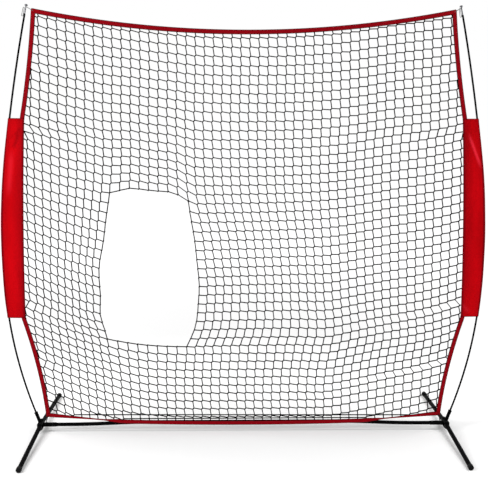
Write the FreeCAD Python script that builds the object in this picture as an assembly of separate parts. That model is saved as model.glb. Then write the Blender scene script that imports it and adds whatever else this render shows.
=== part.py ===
import FreeCAD, Part
import math
import os

# Pitching target net: a folding steel base, two sprung bow poles and a mesh with an
# off-centre target opening, hung between them. Millimetres, +X to the right, +Z up and
# the pitcher's side towards -Y. The origin is on the floor under the middle of the base.

# Base: hubs, crossbar and legs
BASE_WIDTH = 2133.6          # from the middle of one hub to the other, 7 ft
HUB_HEIGHT = 36.0            # axis of the crossbar above the floor, at a hub
PIVOT_REACH = 31.0           # leg pivots, in front of and behind the crossbar's axis
PLATE_THICKNESS = 3.0
PLATE_MARGIN = 13.5          # from a pivot to the plate's edge
PLATE_CORNER = 8.0
ARM_DIAMETER = 22.2          # tube welded into the hub, which the crossbar plugs into
ARM_WALL = 1.4
ARM_LENGTH = 80.0            # from the hub's middle to the arm's mouth
BAR_DIAMETER = 19.05
BAR_WALL = 1.4
BAR_INSET = 24.0             # from the hub's middle to the crossbar's end in the arm
BAR_RISE = 11.5              # the crossbar's middle stands this much above its ends
BAR_BEND_RADIUS = 4800.0
BAR_STRAIGHT = 130.0         # from the hub's middle to where the crossbar starts to rise
BAR_JOINT_GAP = 0.3
COUPLER_LENGTH = 160.0
COUPLER_WALL = 1.5
COUPLER_PLAY = 0.12
RIVET_DIAMETER = 4.0
RIVET_HEAD = 7.0
RIVET_HEAD_HEIGHT = 1.6
RIVET_TAIL = 2.0             # inside the coupler's wall
CENTRE_FIXING = 45.0         # rivet and snap button, left and right of the middle

# Legs
LEG_REACH = 526.0            # from the crossbar's axis to the end of a rubber cap
LEG_DIAMETER = 22.2
LEG_WALL = 1.4
LEG_START = 16.5             # from a pivot to the end of the leg's tube
KNUCKLE_RADIUS = 10.0
KNUCKLE_LENGTH = 15.5
KNUCKLE_PLAY = 0.25          # above and below, between the plates
KNUCKLE_PLUG = 30.0
STOP_GAP = 0.5               # between a knuckle's side and the hub's web
CAP_DIAMETER = 26.5
CAP_LENGTH = 24.0
CAP_END = 4.0
CAP_ROUND = 3.0
SOLE_DEPTH = 0.8             # depth of the flat that is moulded under a cap
BOLT_DIAMETER = 8.0
BOLT_HEAD_WIDTH = 13.0
BOLT_HEAD_HEIGHT = 5.3
NUT_HEIGHT = 6.5
BOLT_END = 2.5
BOLT_HOLE_PLAY = 0.1
PIVOT_PLAY = 0.05

# Snap buttons
BUTTON_DIAMETER = 6.2
BUTTON_HOLE_PLAY = 0.1
BUTTON_PROUD = 2.2           # above the outer tube
BUTTON_FLANGE = 8.8
BUTTON_FLANGE_THICKNESS = 1.0
BUTTON_FLANGE_PLAY = 0.1
BUTTON_ROUND = 1.9
HUB_BUTTON_OFFSET = 64.0     # from the hub's middle
SPRING_THICKNESS = 0.6
SPRING_WIDTH = 5.0
SPRING_FOOT = 9.0
SPRING_LENGTH = 34.0
SPRING_PLAY = 0.15

# Bow poles
POLE_DIAMETER = 9.5
POLE_BORE = 6.2
POLE_LEAN = 19.7             # degrees outwards, in the socket
SECTION_LENGTH = 706.0
SECTION_TURNS = (16.4, 11.0, 4.5)   # degrees that each section bends inwards
SECTION_GAP = 0.3
SOCKET_DIAMETER = 18.0
SOCKET_LENGTH = 57.0
SOCKET_PLAY = 0.2
SOCKET_LIP = 20.5
SOCKET_LIP_HEIGHT = 4.0
FERRULE_DIAMETER = 12.0
FERRULE_PLAY = 0.1
FERRULE_LENGTH = 60.0
TIP_ROD_DIAMETER = 6.0
TIP_NECK_DIAMETER = 5.0
TIP_NECK_START = 31.0
TIP_PLUG = 25.0
TIP_ROD_LENGTH = 38.0
TIP_HEAD_DIAMETER = 16.0
TIP_HEAD_HEIGHT = 8.5
TIP_HEAD_ROUND = 5.0

# Net, binding and sleeves
TAPE_WIDTH = 23.0
TAPE_THICKNESS = 2.4
TAPE_CLEARANCE = 0.35        # between the crossbar and the tape that hangs in front of it
SEAM_GAP = 0.3
MESH_THICKNESS = 1.8
MESH_STRAND = 4.0
TOP_CORNER_INSET = 36.5      # from the tip's neck to the corner of the tape's middle line
TOP_CORNER_DROP = 21.0
TOP_SAG = 98.0
UPPER_SIDE_HEIGHT = 517.5    # from the top corner down to the sleeve
UPPER_SIDE_BOW = 7.0         # inwards
SLEEVE_HEIGHT = 1019.0
SLEEVE_TOP_INSET = 64.5      # from the pole's axis to the tape's middle line
SLEEVE_FOOT_INSET = 77.5
SLEEVE_BOW = 6.0             # outwards
LOWER_SIDE_BOW = 14.0        # inwards
BOTTOM_CORNER_INSET = 42.0   # from the hub's middle
BOTTOM_CORNER_RISE = 56.5    # above the hub's axis
BOTTOM_BREAK_INSET = 446.8   # from the hub's middle to where the bottom tape meets the crossbar
BOTTOM_BREAK_RISE = 6.5      # above the axis of the crossbar's middle
BOTTOM_MIDDLE_DROP = 2.5     # below that axis
EYELET_DIAMETER = 8.0
SLEEVE_WALL = 1.1
SLEEVE_PLAY = 1.0
SLEEVE_SEAM_RADIUS = 1.9
SLEEVE_STATIONS = 10

# Mesh, in squares of the real one: left of, across and right of the opening, then above,
# beside and below it. The drawn mesh has fewer squares in the same space.
REAL_COLUMN_COUNTS = (9, 8, 30)
REAL_ROW_COUNTS = (18, 17, 10)
DRAWN_COLUMN_COUNTS = (4, 3, 11)
DRAWN_ROW_COUNTS = (7, 6, 4)

# Target opening: corners, and how far each side bows outwards from its chord
OPENING_TOP_LEFT = (-678.0, 1269.0)
OPENING_TOP_RIGHT = (-290.0, 1230.0)
OPENING_BOTTOM_RIGHT = (-290.0, 461.0)
OPENING_BOTTOM_LEFT = (-700.0, 502.0)
OPENING_TOP_BOW = 24.0
OPENING_RIGHT_BOW = 62.0
OPENING_BOTTOM_BOW = 15.0
OPENING_LEFT_BOW = 42.0

# Elastic corner loops
CORD_DIAMETER = 2.6
LOOP_PLAY = 0.4
TOP_LOOP_PLACE = 34.5        # along the tip's rod
TOP_LOOP_BEND = 7.5          # of the cord's middle line, where it passes through an eyelet
BOTTOM_LOOP_BEND = 3.8
BOTTOM_LOOP_INSET = 10.0     # from the hub's plates to the loop round the arm
TAIL_DROP = 6.0              # from the top loop to the top of its free end
TAIL_LENGTH = 36.0
TAIL_WIDTH = 8.0
TAIL_FLARE = 1.0
TAIL_PLAY = 0.8

HUB_X = BASE_WIDTH / 2
HUB_GAP = ARM_DIAMETER
PLATE_TOP = HUB_HEIGHT + HUB_GAP / 2 + PLATE_THICKNESS
PLATE_BOTTOM = HUB_HEIGHT - HUB_GAP / 2 - PLATE_THICKNESS
BAR_MIDDLE = HUB_HEIGHT + BAR_RISE
BAR_BORE = BAR_DIAMETER - 2 * BAR_WALL
COUPLER_DIAMETER = BAR_BORE - 2 * COUPLER_PLAY
TAPE_BACK = -BAR_DIAMETER / 2 - TAPE_CLEARANCE
TAPE_FRONT = TAPE_BACK - TAPE_THICKNESS
NET_Y = (TAPE_BACK + TAPE_FRONT) / 2

X_AXIS = FreeCAD.Vector(1, 0, 0)
Y_AXIS = FreeCAD.Vector(0, 1, 0)
ORIGIN = FreeCAD.Vector(0, 0, 0)


def vec(x, y, z):
    return FreeCAD.Vector(x, y, z)


def mirrored(shape):
    return shape.mirror(ORIGIN, X_AXIS)


def rear(shape):
    return shape.mirror(ORIGIN, Y_AXIS)


def rod(radius, start, end):
    along = end - start
    return Part.makeCylinder(radius, along.Length, start, along)


def pipe(outer, inner, start, end):
    return rod(outer, start, end).cut(rod(inner, start, end))


def heading_vector(angle):
    return vec(math.sin(angle), 0, math.cos(angle))


def step_along(point, angle, piece):
    """Go along one straight or bent piece; return the new point and angle."""
    length, turn = piece
    if turn == 0:
        return point + heading_vector(angle) * length, angle
    radius = length / turn
    side = vec(math.cos(angle), 0, -math.sin(angle))
    centre = point + side * radius
    new_angle = angle + turn
    new_side = vec(math.cos(new_angle), 0, -math.sin(new_angle))
    return centre - new_side * radius, new_angle


def bent_rod(radius, point, angle, pieces):
    """Solid rod in the XZ plane through straight and bent pieces (length, turn)."""
    solids = []
    for piece in pieces:
        length, turn = piece
        if turn == 0:
            end = point + heading_vector(angle) * length
            solids.append(rod(radius, point, end))
        else:
            side = vec(math.cos(angle), 0, -math.sin(angle))
            centre = point + side * (length / turn)
            disc = Part.Face(Part.Wire(Part.makeCircle(radius, point, heading_vector(angle))))
            solids.append(disc.revolve(centre, Y_AXIS, math.degrees(turn)))
        point, angle = step_along(point, angle, piece)
    body = solids[0]
    if len(solids) > 1:
        body = body.fuse(solids[1:])
    return body


def bent_tube(outer, inner, point, angle, pieces):
    return bent_rod(outer, point, angle, pieces).cut(bent_rod(inner, point, angle, pieces))


# Hub, one on the right; the left one is its mirror image

def hub_bracket():
    inner = HUB_X - PLATE_MARGIN
    depth = 2 * (PIVOT_REACH + PLATE_MARGIN)
    corner = vec(inner, -depth / 2, PLATE_BOTTOM)
    block = Part.makeBox(2 * PLATE_MARGIN, depth, PLATE_TOP - PLATE_BOTTOM, corner)
    edges = [e for e in block.Edges if abs(e.tangentAt(e.FirstParameter).z) > 0.9]
    block = block.makeFillet(PLATE_CORNER, edges)
    web_face = HUB_X + KNUCKLE_RADIUS + STOP_GAP
    slot = Part.makeBox(web_face - inner + 1, depth + 2, HUB_GAP,
                        vec(inner - 1, -depth / 2 - 1, HUB_HEIGHT - HUB_GAP / 2))
    bracket = block.cut(slot)
    for side in (-1, 1):
        foot = vec(HUB_X, side * PIVOT_REACH, PLATE_BOTTOM - 1)
        hole = rod(BOLT_DIAMETER / 2 + BOLT_HOLE_PLAY, foot, vec(foot.x, foot.y, PLATE_TOP + 1))
        bracket = bracket.cut(hole)
    return bracket


def hub_arm():
    web_face = HUB_X + KNUCKLE_RADIUS + STOP_GAP
    start = vec(web_face, 0, HUB_HEIGHT)
    end = vec(HUB_X - ARM_LENGTH, 0, HUB_HEIGHT)
    arm = pipe(ARM_DIAMETER / 2, ARM_DIAMETER / 2 - ARM_WALL, start, end)
    return arm.cut(button_hole(HUB_X - HUB_BUTTON_OFFSET, HUB_HEIGHT, -1))


def pole_axis_point(height):
    """Point of the straight part of the pole's axis, at this height."""
    lean = math.radians(POLE_LEAN)
    return vec(HUB_X + (height - HUB_HEIGHT) * math.tan(lean), 0, height)


def pole_socket():
    lean = heading_vector(math.radians(POLE_LEAN))
    seat = pole_axis_point(PLATE_TOP)
    mouth = seat + lean * SOCKET_LENGTH
    bore = POLE_DIAMETER / 2 + SOCKET_PLAY
    tube = rod(SOCKET_DIAMETER / 2, seat - lean * SOCKET_DIAMETER, mouth)
    lip = rod(SOCKET_LIP / 2, mouth - lean * SOCKET_LIP_HEIGHT, mouth)
    tube = tube.fuse(lip).cut(rod(bore, seat - lean * SOCKET_DIAMETER, mouth + lean))
    side = 4 * SOCKET_DIAMETER
    below = Part.makeBox(side, side, side, vec(seat.x - side / 2, -side / 2, PLATE_TOP - side))
    return tube.cut(below).removeSplitter()


def hexagon(width, height, centre):
    radius = width / math.sqrt(3)
    corners = []
    for k in range(7):
        turn = math.radians(60 * k)
        corners.append(centre + vec(radius * math.cos(turn), radius * math.sin(turn), 0))
    return Part.Face(Part.makePolygon(corners)).extrude(vec(0, 0, height))


def pivot_bolt(side):
    foot = vec(HUB_X, side * PIVOT_REACH, PLATE_BOTTOM - NUT_HEIGHT - BOLT_END)
    top = vec(foot.x, foot.y, PLATE_TOP)
    shank = rod(BOLT_DIAMETER / 2, foot, top)
    return shank.fuse(hexagon(BOLT_HEAD_WIDTH, BOLT_HEAD_HEIGHT, top)).removeSplitter()


def pivot_nut(side):
    foot = vec(HUB_X, side * PIVOT_REACH, PLATE_BOTTOM - NUT_HEIGHT)
    body = hexagon(BOLT_HEAD_WIDTH, NUT_HEIGHT, foot)
    return body.cut(rod(BOLT_DIAMETER / 2, foot, vec(foot.x, foot.y, PLATE_BOTTOM)))


# Crossbar, in two halves on an inner coupler

def bar_pieces():
    """Right half from its end in the arm to the middle, as (length, turn) pieces."""
    bend = math.acos(1 - BAR_RISE / (2 * BAR_BEND_RADIUS))
    bend_length = BAR_BEND_RADIUS * bend
    run = 2 * BAR_BEND_RADIUS * math.sin(bend)
    middle_run = HUB_X - BAR_STRAIGHT - run - BAR_JOINT_GAP / 2
    first = BAR_STRAIGHT - BAR_INSET
    return [(first, 0), (bend_length, bend), (bend_length, -bend), (middle_run, 0)]


def crossbar_half():
    start = vec(HUB_X - BAR_INSET, 0, HUB_HEIGHT)
    half = bent_tube(BAR_DIAMETER / 2, BAR_BORE / 2, start, -math.pi / 2, bar_pieces())
    return half.removeSplitter()


def crossbar_right():
    half = crossbar_half()
    half = half.cut(button_hole(HUB_X - HUB_BUTTON_OFFSET, HUB_HEIGHT, -1))
    return half.cut(button_hole(CENTRE_FIXING, BAR_MIDDLE, 1))


def crossbar_left():
    half = mirrored(crossbar_half())
    half = half.cut(button_hole(HUB_BUTTON_OFFSET - HUB_X, HUB_HEIGHT, -1))
    return half.cut(rivet_hole())


def rivet_hole():
    reach = BAR_DIAMETER
    radius = RIVET_DIAMETER / 2
    return rod(radius, vec(-CENTRE_FIXING, -reach, BAR_MIDDLE), vec(-CENTRE_FIXING, reach, BAR_MIDDLE))


def crossbar_coupler():
    start = vec(-COUPLER_LENGTH / 2, 0, BAR_MIDDLE)
    end = vec(COUPLER_LENGTH / 2, 0, BAR_MIDDLE)
    outer = COUPLER_DIAMETER / 2
    tube = pipe(outer, outer - COUPLER_WALL, start, end)
    tube = tube.cut(button_hole(CENTRE_FIXING, BAR_MIDDLE, 1))
    return tube.cut(rivet_hole())


def coupler_rivet():
    """Blind rivet from behind, through the crossbar and the coupler."""
    skin = BAR_DIAMETER / 2
    inner_end = COUPLER_DIAMETER / 2 - COUPLER_WALL - RIVET_TAIL
    shank = rod(RIVET_DIAMETER / 2, vec(-CENTRE_FIXING, inner_end, BAR_MIDDLE),
                vec(-CENTRE_FIXING, skin, BAR_MIDDLE))
    head = rod(RIVET_HEAD / 2, vec(-CENTRE_FIXING, skin, BAR_MIDDLE),
               vec(-CENTRE_FIXING, skin + RIVET_HEAD_HEIGHT, BAR_MIDDLE))
    return shank.fuse(head).removeSplitter()


# Snap buttons, each on a V-shaped leaf spring inside the inner tube

def button_hole(x, z, side):
    radius = BUTTON_DIAMETER / 2 + BUTTON_HOLE_PLAY
    return rod(radius, vec(x, 0, z), vec(x, side * ARM_DIAMETER, z))


def flange_face(bore_radius):
    """Distance from the tube's axis at which the flange bears on the bore."""
    return math.sqrt(bore_radius ** 2 - (BUTTON_FLANGE / 2) ** 2) - BUTTON_FLANGE_PLAY


def snap_button(x, z, side, outer_radius, bore_radius):
    top = outer_radius + BUTTON_PROUD
    seat = flange_face(bore_radius)
    radius = BUTTON_DIAMETER / 2
    pin = rod(radius, vec(x, side * (seat - BUTTON_FLANGE_THICKNESS), z), vec(x, side * top, z))
    rim = [e for e in pin.Edges if abs(e.CenterOfMass.y - side * top) < 0.01]
    pin = pin.makeFillet(BUTTON_ROUND, rim)
    flange = rod(BUTTON_FLANGE / 2, vec(x, side * (seat - BUTTON_FLANGE_THICKNESS), z),
                 vec(x, side * seat, z))
    return pin.fuse(flange).removeSplitter()


def snap_spring(x, z, side, bore_radius, direction):
    """V of spring strip: one leg under the button, the other on the far wall."""
    near = flange_face(bore_radius) - BUTTON_FLANGE_THICKNESS
    far = math.sqrt(bore_radius ** 2 - (SPRING_WIDTH / 2) ** 2) - SPRING_PLAY
    thick = SPRING_THICKNESS
    foot = SPRING_FOOT / 2
    points = [(-foot, near), (foot, near), (SPRING_LENGTH, thick), (SPRING_LENGTH, -thick),
              (-foot, -far), (-foot, thick - far), (SPRING_LENGTH - 2 * thick, -thick / 2),
              (SPRING_LENGTH - 2 * thick, thick / 2), (foot, near - thick), (-foot, near - thick)]
    corners = []
    for along, out in points:
        corners.append(vec(x + direction * along, side * out, z - SPRING_WIDTH / 2))
    corners.append(corners[0])
    return Part.Face(Part.makePolygon(corners)).extrude(vec(0, 0, SPRING_WIDTH))


# Legs, shown for the right front corner

def leg_slope():
    """Angle at which a leg runs down, so that its cap's flat lies on the floor."""
    slope = 0.0
    for _ in range(20):
        end_height = CAP_DIAMETER / 2 * math.cos(slope) - SOLE_DEPTH
        slope = math.atan((HUB_HEIGHT - end_height) / (LEG_REACH - PIVOT_REACH))
    return slope


def leg_point(distance):
    slope = leg_slope()
    return vec(HUB_X, -PIVOT_REACH - distance * math.cos(slope), HUB_HEIGHT - distance * math.sin(slope))


def leg_end():
    return (LEG_REACH - PIVOT_REACH) / math.cos(leg_slope())


def leg_tube():
    outer = LEG_DIAMETER / 2
    return pipe(outer, outer - LEG_WALL, leg_point(LEG_START), leg_point(leg_end() - CAP_END))


def leg_knuckle():
    height = HUB_GAP - 2 * KNUCKLE_PLAY
    low = HUB_HEIGHT - height / 2
    eye = Part.makeCylinder(KNUCKLE_RADIUS, height, vec(HUB_X, -PIVOT_REACH, low))
    block = Part.makeBox(2 * KNUCKLE_RADIUS, KNUCKLE_LENGTH, height,
                         vec(HUB_X - KNUCKLE_RADIUS, -PIVOT_REACH - KNUCKLE_LENGTH, low))
    plug_radius = LEG_DIAMETER / 2 - LEG_WALL
    plug = rod(plug_radius, leg_point(KNUCKLE_RADIUS), leg_point(LEG_START + KNUCKLE_PLUG))
    bore = rod(BOLT_DIAMETER / 2 + PIVOT_PLAY, vec(HUB_X, -PIVOT_REACH, low - 1),
               vec(HUB_X, -PIVOT_REACH, low + height + 1))
    return eye.fuse([block, plug]).cut(bore).removeSplitter()


def leg_cap():
    end = leg_end()
    mouth = leg_point(end - CAP_LENGTH)
    tip = leg_point(end)
    cap = rod(CAP_DIAMETER / 2, mouth, tip)
    rims = [e for e in cap.Edges if e.Curve.TypeId == "Part::GeomCircle"]
    tip_rims = [e for e in rims if (e.Curve.Center - tip).Length < 0.01]
    cap = cap.makeFillet(CAP_ROUND, tip_rims)
    cap = cap.cut(rod(LEG_DIAMETER / 2, mouth, leg_point(end - CAP_END)))
    side = 4 * CAP_DIAMETER
    floor = Part.makeBox(side, side, side, vec(HUB_X - side / 2, tip.y - side / 2, -side))
    return cap.cut(floor)


# Bow pole, on the right

def pole_start():
    lean = math.radians(POLE_LEAN)
    return pole_axis_point(PLATE_TOP + POLE_DIAMETER / 2 * math.sin(lean) + SECTION_GAP)


def pole_pieces():
    """The pole's sections, each as its (length, turn) pieces."""
    turns = [-math.radians(t) for t in SECTION_TURNS]
    first = [(SOCKET_LENGTH, 0), (SECTION_LENGTH - SOCKET_LENGTH, turns[0])]
    return [first, [(SECTION_LENGTH, turns[1])], [(SECTION_LENGTH, turns[2])]]


def part_of_piece(piece, share):
    return (piece[0] * share, piece[1] * share)


def pole_state(distance):
    """Point and angle of the pole's axis at this distance from its foot."""
    point = pole_start()
    angle = math.radians(POLE_LEAN)
    for section in pole_pieces():
        for piece in section:
            if distance <= piece[0]:
                return step_along(point, angle, part_of_piece(piece, distance / piece[0]))
            point, angle = step_along(point, angle, piece)
            distance -= piece[0]
    return point + heading_vector(angle) * distance, angle


def pole_x(height):
    """X of the pole's axis at this height, by halving."""
    low = 0.0
    high = 3 * SECTION_LENGTH
    for _ in range(50):
        middle = (low + high) / 2
        if pole_state(middle)[0].z < height:
            low = middle
        else:
            high = middle
    return pole_state(low)[0].x


def pole_section(number):
    point, angle = pole_state(number * SECTION_LENGTH)
    pieces = list(pole_pieces()[number])
    last = pieces[-1]
    pieces[-1] = part_of_piece(last, (last[0] - SECTION_GAP) / last[0])
    return bent_tube(POLE_DIAMETER / 2, POLE_BORE / 2, point, angle, pieces).removeSplitter()


def pole_ferrule(number):
    """Metal sleeve over the joint between two sections."""
    sections = pole_pieces()
    half = FERRULE_LENGTH / 2
    before = sections[number - 1][-1]
    after = sections[number][0]
    point, angle = pole_state(number * SECTION_LENGTH - half)
    pieces = [part_of_piece(before, half / before[0]), part_of_piece(after, half / after[0])]
    bore = POLE_DIAMETER / 2 + FERRULE_PLAY
    return bent_tube(FERRULE_DIAMETER / 2, bore, point, angle, pieces).removeSplitter()


def pole_tip():
    """Turned metal tip: plug, rod, neck and mushroom head."""
    point, angle = pole_state(3 * SECTION_LENGTH)
    head_foot = vec(0, 0, TIP_ROD_LENGTH)
    crown = vec(0, 0, TIP_ROD_LENGTH + TIP_HEAD_HEIGHT)
    body = rod(TIP_ROD_DIAMETER / 2, vec(0, 0, -TIP_PLUG), vec(0, 0, TIP_NECK_START))
    neck = rod(TIP_NECK_DIAMETER / 2, vec(0, 0, TIP_NECK_START), head_foot)
    head = rod(TIP_HEAD_DIAMETER / 2, head_foot, crown)
    rim = [e for e in head.Edges if e.Closed and abs(e.CenterOfMass.z - crown.z) < 0.01]
    head = head.makeFillet(TIP_HEAD_ROUND, rim)
    tip = body.fuse([neck, head]).removeSplitter()
    tip.rotate(ORIGIN, Y_AXIS, math.degrees(angle))
    tip.translate(point)
    return tip


# Corners of the net, as X and Z on the tape's middle line, from the poles and the hubs

LOOP_PLACE, LOOP_LEAN = pole_state(3 * SECTION_LENGTH + TOP_LOOP_PLACE)
TOP_CORNER = (LOOP_PLACE.x - TOP_CORNER_INSET, LOOP_PLACE.z - TOP_CORNER_DROP)
SLEEVE_TOP_Z = TOP_CORNER[1] - UPPER_SIDE_HEIGHT
SLEEVE_FOOT_Z = SLEEVE_TOP_Z - SLEEVE_HEIGHT
SLEEVE_TOP = (pole_x(SLEEVE_TOP_Z) - SLEEVE_TOP_INSET, SLEEVE_TOP_Z)
SLEEVE_FOOT = (pole_x(SLEEVE_FOOT_Z) - SLEEVE_FOOT_INSET, SLEEVE_FOOT_Z)
BOTTOM_CORNER = (HUB_X - BOTTOM_CORNER_INSET, HUB_HEIGHT + BOTTOM_CORNER_RISE)
BOTTOM_BREAK = (HUB_X - BOTTOM_BREAK_INSET, BAR_MIDDLE + BOTTOM_BREAK_RISE)
BOTTOM_MIDDLE = BAR_MIDDLE - BOTTOM_MIDDLE_DROP


# Tape round the net: bands in the plane of the net, about a middle line of arcs

def flat(point, y=0.0):
    return vec(point[0], y, point[1])


def flipped(point):
    return (-point[0], point[1])


def loop_wire(points):
    corners = [flat(p) for p in points]
    return Part.makePolygon(corners + [corners[0]])


def bow_middle(a, b, bow):
    """Middle point of the arc from a to b that stands off their chord by bow."""
    dx = b[0] - a[0]
    dz = b[1] - a[1]
    length = math.hypot(dx, dz)
    return ((a[0] + b[0]) / 2 - dz / length * bow, (a[1] + b[1]) / 2 + dx / length * bow)


def arc_centre(a, b, bow):
    """Centre and radius of that arc."""
    chord = math.hypot(b[0] - a[0], b[1] - a[1])
    radius = (chord ** 2 / 4 + bow ** 2) / (2 * abs(bow))
    middle = bow_middle(a, b, bow)
    chord_middle = ((a[0] + b[0]) / 2, (a[1] + b[1]) / 2)
    share = radius / abs(bow)
    return (middle[0] + (chord_middle[0] - middle[0]) * share,
            middle[1] + (chord_middle[1] - middle[1]) * share), radius


def arc_edge(a, b, bow):
    if bow == 0:
        return Part.LineSegment(flat(a), flat(b)).toShape()
    return Part.Arc(flat(a), flat(bow_middle(a, b, bow)), flat(b)).toShape()


def moved_out(a, b, bow, points, width):
    """Move points of an arc square to it by width, to the left of its way."""
    result = []
    for p in points:
        if bow == 0:
            length = math.hypot(b[0] - a[0], b[1] - a[1])
            normal = (-(b[1] - a[1]) / length, (b[0] - a[0]) / length)
        else:
            centre, radius = arc_centre(a, b, bow)
            sign = 1 if bow > 0 else -1
            normal = (sign * (p[0] - centre[0]) / radius, sign * (p[1] - centre[1]) / radius)
        result.append((p[0] + normal[0] * width, p[1] + normal[1] * width))
    return result


def band(a, b, bow, half_width):
    """Flat strip of even width about the arc from a to b."""
    points = [a, bow_middle(a, b, bow), b]
    left = moved_out(a, b, bow, points, half_width)
    right = moved_out(a, b, bow, points, -half_width)
    edges = [Part.LineSegment(flat(right[0]), flat(left[0])).toShape(),
             Part.LineSegment(flat(left[2]), flat(right[2])).toShape()]
    for line in (left, right):
        if bow == 0:
            edges.append(Part.LineSegment(flat(line[0]), flat(line[2])).toShape())
        else:
            edges.append(Part.Arc(flat(line[0]), flat(line[1]), flat(line[2])).toShape())
    return Part.Face(Part.Wire(Part.__sortEdges__(edges)))


def disc(point, radius):
    return Part.Face(Part.Wire(Part.makeCircle(radius, flat(point), Y_AXIS)))


def thickened(face, thickness):
    solid = face.extrude(vec(0, thickness, 0))
    solid.translate(vec(0, NET_Y - thickness / 2, 0))
    return solid


def tape(faces, holes):
    """One piece of tape from flat faces that overlap, less its holes."""
    solids = [thickened(f, TAPE_THICKNESS) for f in faces]
    body = solids[0]
    if len(solids) > 1:
        body = body.fuse(solids[1:])
    return body.cut([thickened(h, 2 * TAPE_THICKNESS) for h in holes]).removeSplitter()


def top_band(half_width):
    return band(flipped(TOP_CORNER), TOP_CORNER, -TOP_SAG, half_width)


def side_band(upper, half_width):
    if upper:
        return band(TOP_CORNER, SLEEVE_TOP, -UPPER_SIDE_BOW, half_width)
    return band(SLEEVE_FOOT, BOTTOM_CORNER, -LOWER_SIDE_BOW, half_width)


def sleeve_band(half_width):
    return band(SLEEVE_TOP, SLEEVE_FOOT, SLEEVE_BOW, half_width)


def bottom_bands(half_width):
    sag = BOTTOM_BREAK[1] - BOTTOM_MIDDLE
    left = flipped(BOTTOM_BREAK)
    return [
        band(left, BOTTOM_BREAK, -sag, half_width),
        band(BOTTOM_BREAK, BOTTOM_CORNER, 0, half_width),
        band(flipped(BOTTOM_CORNER), left, 0, half_width),
        disc(BOTTOM_BREAK, half_width),
        disc(left, half_width)]


def both_discs(point, radius):
    return [disc(point, radius), disc(flipped(point), radius)]


def top_tape():
    half = TAPE_WIDTH / 2
    return tape([top_band(half)] + both_discs(TOP_CORNER, half), both_discs(TOP_CORNER, EYELET_DIAMETER / 2))


def bottom_tape():
    half = TAPE_WIDTH / 2
    faces = bottom_bands(half) + both_discs(BOTTOM_CORNER, half)
    return tape(faces, both_discs(BOTTOM_CORNER, EYELET_DIAMETER / 2))


def sleeve_zone():
    """Flat area beside the sleeve, from its foot to its top."""
    left = SLEEVE_TOP[0] - TAPE_WIDTH
    right = SLEEVE_FOOT[0] + TAPE_WIDTH
    corners = [(left, SLEEVE_FOOT_Z), (right, SLEEVE_FOOT_Z), (right, SLEEVE_TOP_Z), (left, SLEEVE_TOP_Z)]
    return Part.Face(loop_wire(corners))


def tape_end(end, other, bow, half_width):
    """Straight bit of tape past the end of an arc, along the arc's way there."""
    centre, radius = arc_centre(end, other, bow)
    way = (-(end[1] - centre[1]) / radius, (end[0] - centre[0]) / radius)
    if way[0] * (end[0] - other[0]) + way[1] * (end[1] - other[1]) < 0:
        way = (-way[0], -way[1])
    past = (end[0] + way[0] * half_width, end[1] + way[1] * half_width)
    return band(end, past, 0, half_width)


def side_tape(upper):
    half = TAPE_WIDTH / 2
    if upper:
        corner = TOP_CORNER
        past = tape_end(SLEEVE_TOP, TOP_CORNER, UPPER_SIDE_BOW, half)
        crossing = [top_band(half)]
    else:
        corner = BOTTOM_CORNER
        past = tape_end(SLEEVE_FOOT, BOTTOM_CORNER, -LOWER_SIDE_BOW, half)
        crossing = bottom_bands(half)
    body = tape([side_band(upper, half), past], crossing + [disc(corner, half + SEAM_GAP), sleeve_zone()])
    return sorted(body.Solids, key=lambda solid: solid.Volume)[-1]


def bowed_x(upper, lower, bow, z):
    """X at this height on a long flat arc, by a parabola that is as good as the arc here."""
    part = (upper[1] - z) / (upper[1] - lower[1])
    return upper[0] + (lower[0] - upper[0]) * part + 4 * bow * part * (1 - part)


# Sleeve of cloth round the pole, sewn to the net

def sleeve_section(height, pole_radius, seam_radius):
    """Teardrop round the pole, drawn out to the seam, as a closed wire."""
    inner_edge = bowed_x(SLEEVE_TOP, SLEEVE_FOOT, SLEEVE_BOW, height) - TAPE_WIDTH / 2
    seam = vec(inner_edge + SLEEVE_SEAM_RADIUS, NET_Y, height)
    pole = vec(pole_x(height), 0, height)
    along = pole - seam
    length = along.Length
    along.normalize()
    across = vec(-along.y, along.x, 0)
    tilt = math.asin((pole_radius - seam_radius) / length)

    def rim(centre, radius, turn):
        return centre + (along * math.cos(turn) + across * math.sin(turn)) * radius

    contact = math.pi / 2 + tilt
    edges = [
        Part.LineSegment(rim(seam, seam_radius, contact), rim(pole, pole_radius, contact)).toShape(),
        Part.Arc(rim(pole, pole_radius, contact), rim(pole, pole_radius, 0),
                 rim(pole, pole_radius, -contact)).toShape(),
        Part.LineSegment(rim(pole, pole_radius, -contact), rim(seam, seam_radius, -contact)).toShape(),
        Part.Arc(rim(seam, seam_radius, -contact), rim(seam, seam_radius, math.pi),
                 rim(seam, seam_radius, contact)).toShape()]
    return Part.Wire(edges)


def sleeve_loft(pole_radius, seam_radius, overrun):
    top = SLEEVE_TOP[1] - SEAM_GAP + overrun
    foot = SLEEVE_FOOT[1] + SEAM_GAP - overrun
    wires = []
    for k in range(SLEEVE_STATIONS):
        height = foot + (top - foot) * k / (SLEEVE_STATIONS - 1)
        wires.append(sleeve_section(height, pole_radius, seam_radius))
    return Part.makeLoft(wires, True, True)


def sleeve():
    inner = FERRULE_DIAMETER / 2 + SLEEVE_PLAY
    outer_shape = sleeve_loft(inner + SLEEVE_WALL, SLEEVE_SEAM_RADIUS, 0)
    return outer_shape.cut(sleeve_loft(inner, SLEEVE_SEAM_RADIUS - SLEEVE_WALL, 0))


# Mesh: one flat face with a hole for every drawn square

def height_on_arc(a, b, bow, x):
    centre, radius = arc_centre(a, b, bow)
    sign = 1 if bow > 0 else -1
    return centre[1] + sign * math.sqrt(radius ** 2 - (x - centre[0]) ** 2)


def top_line(share):
    x = TOP_CORNER[0] * (2 * share - 1)
    return (x, height_on_arc(flipped(TOP_CORNER), TOP_CORNER, -TOP_SAG, x))


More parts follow.
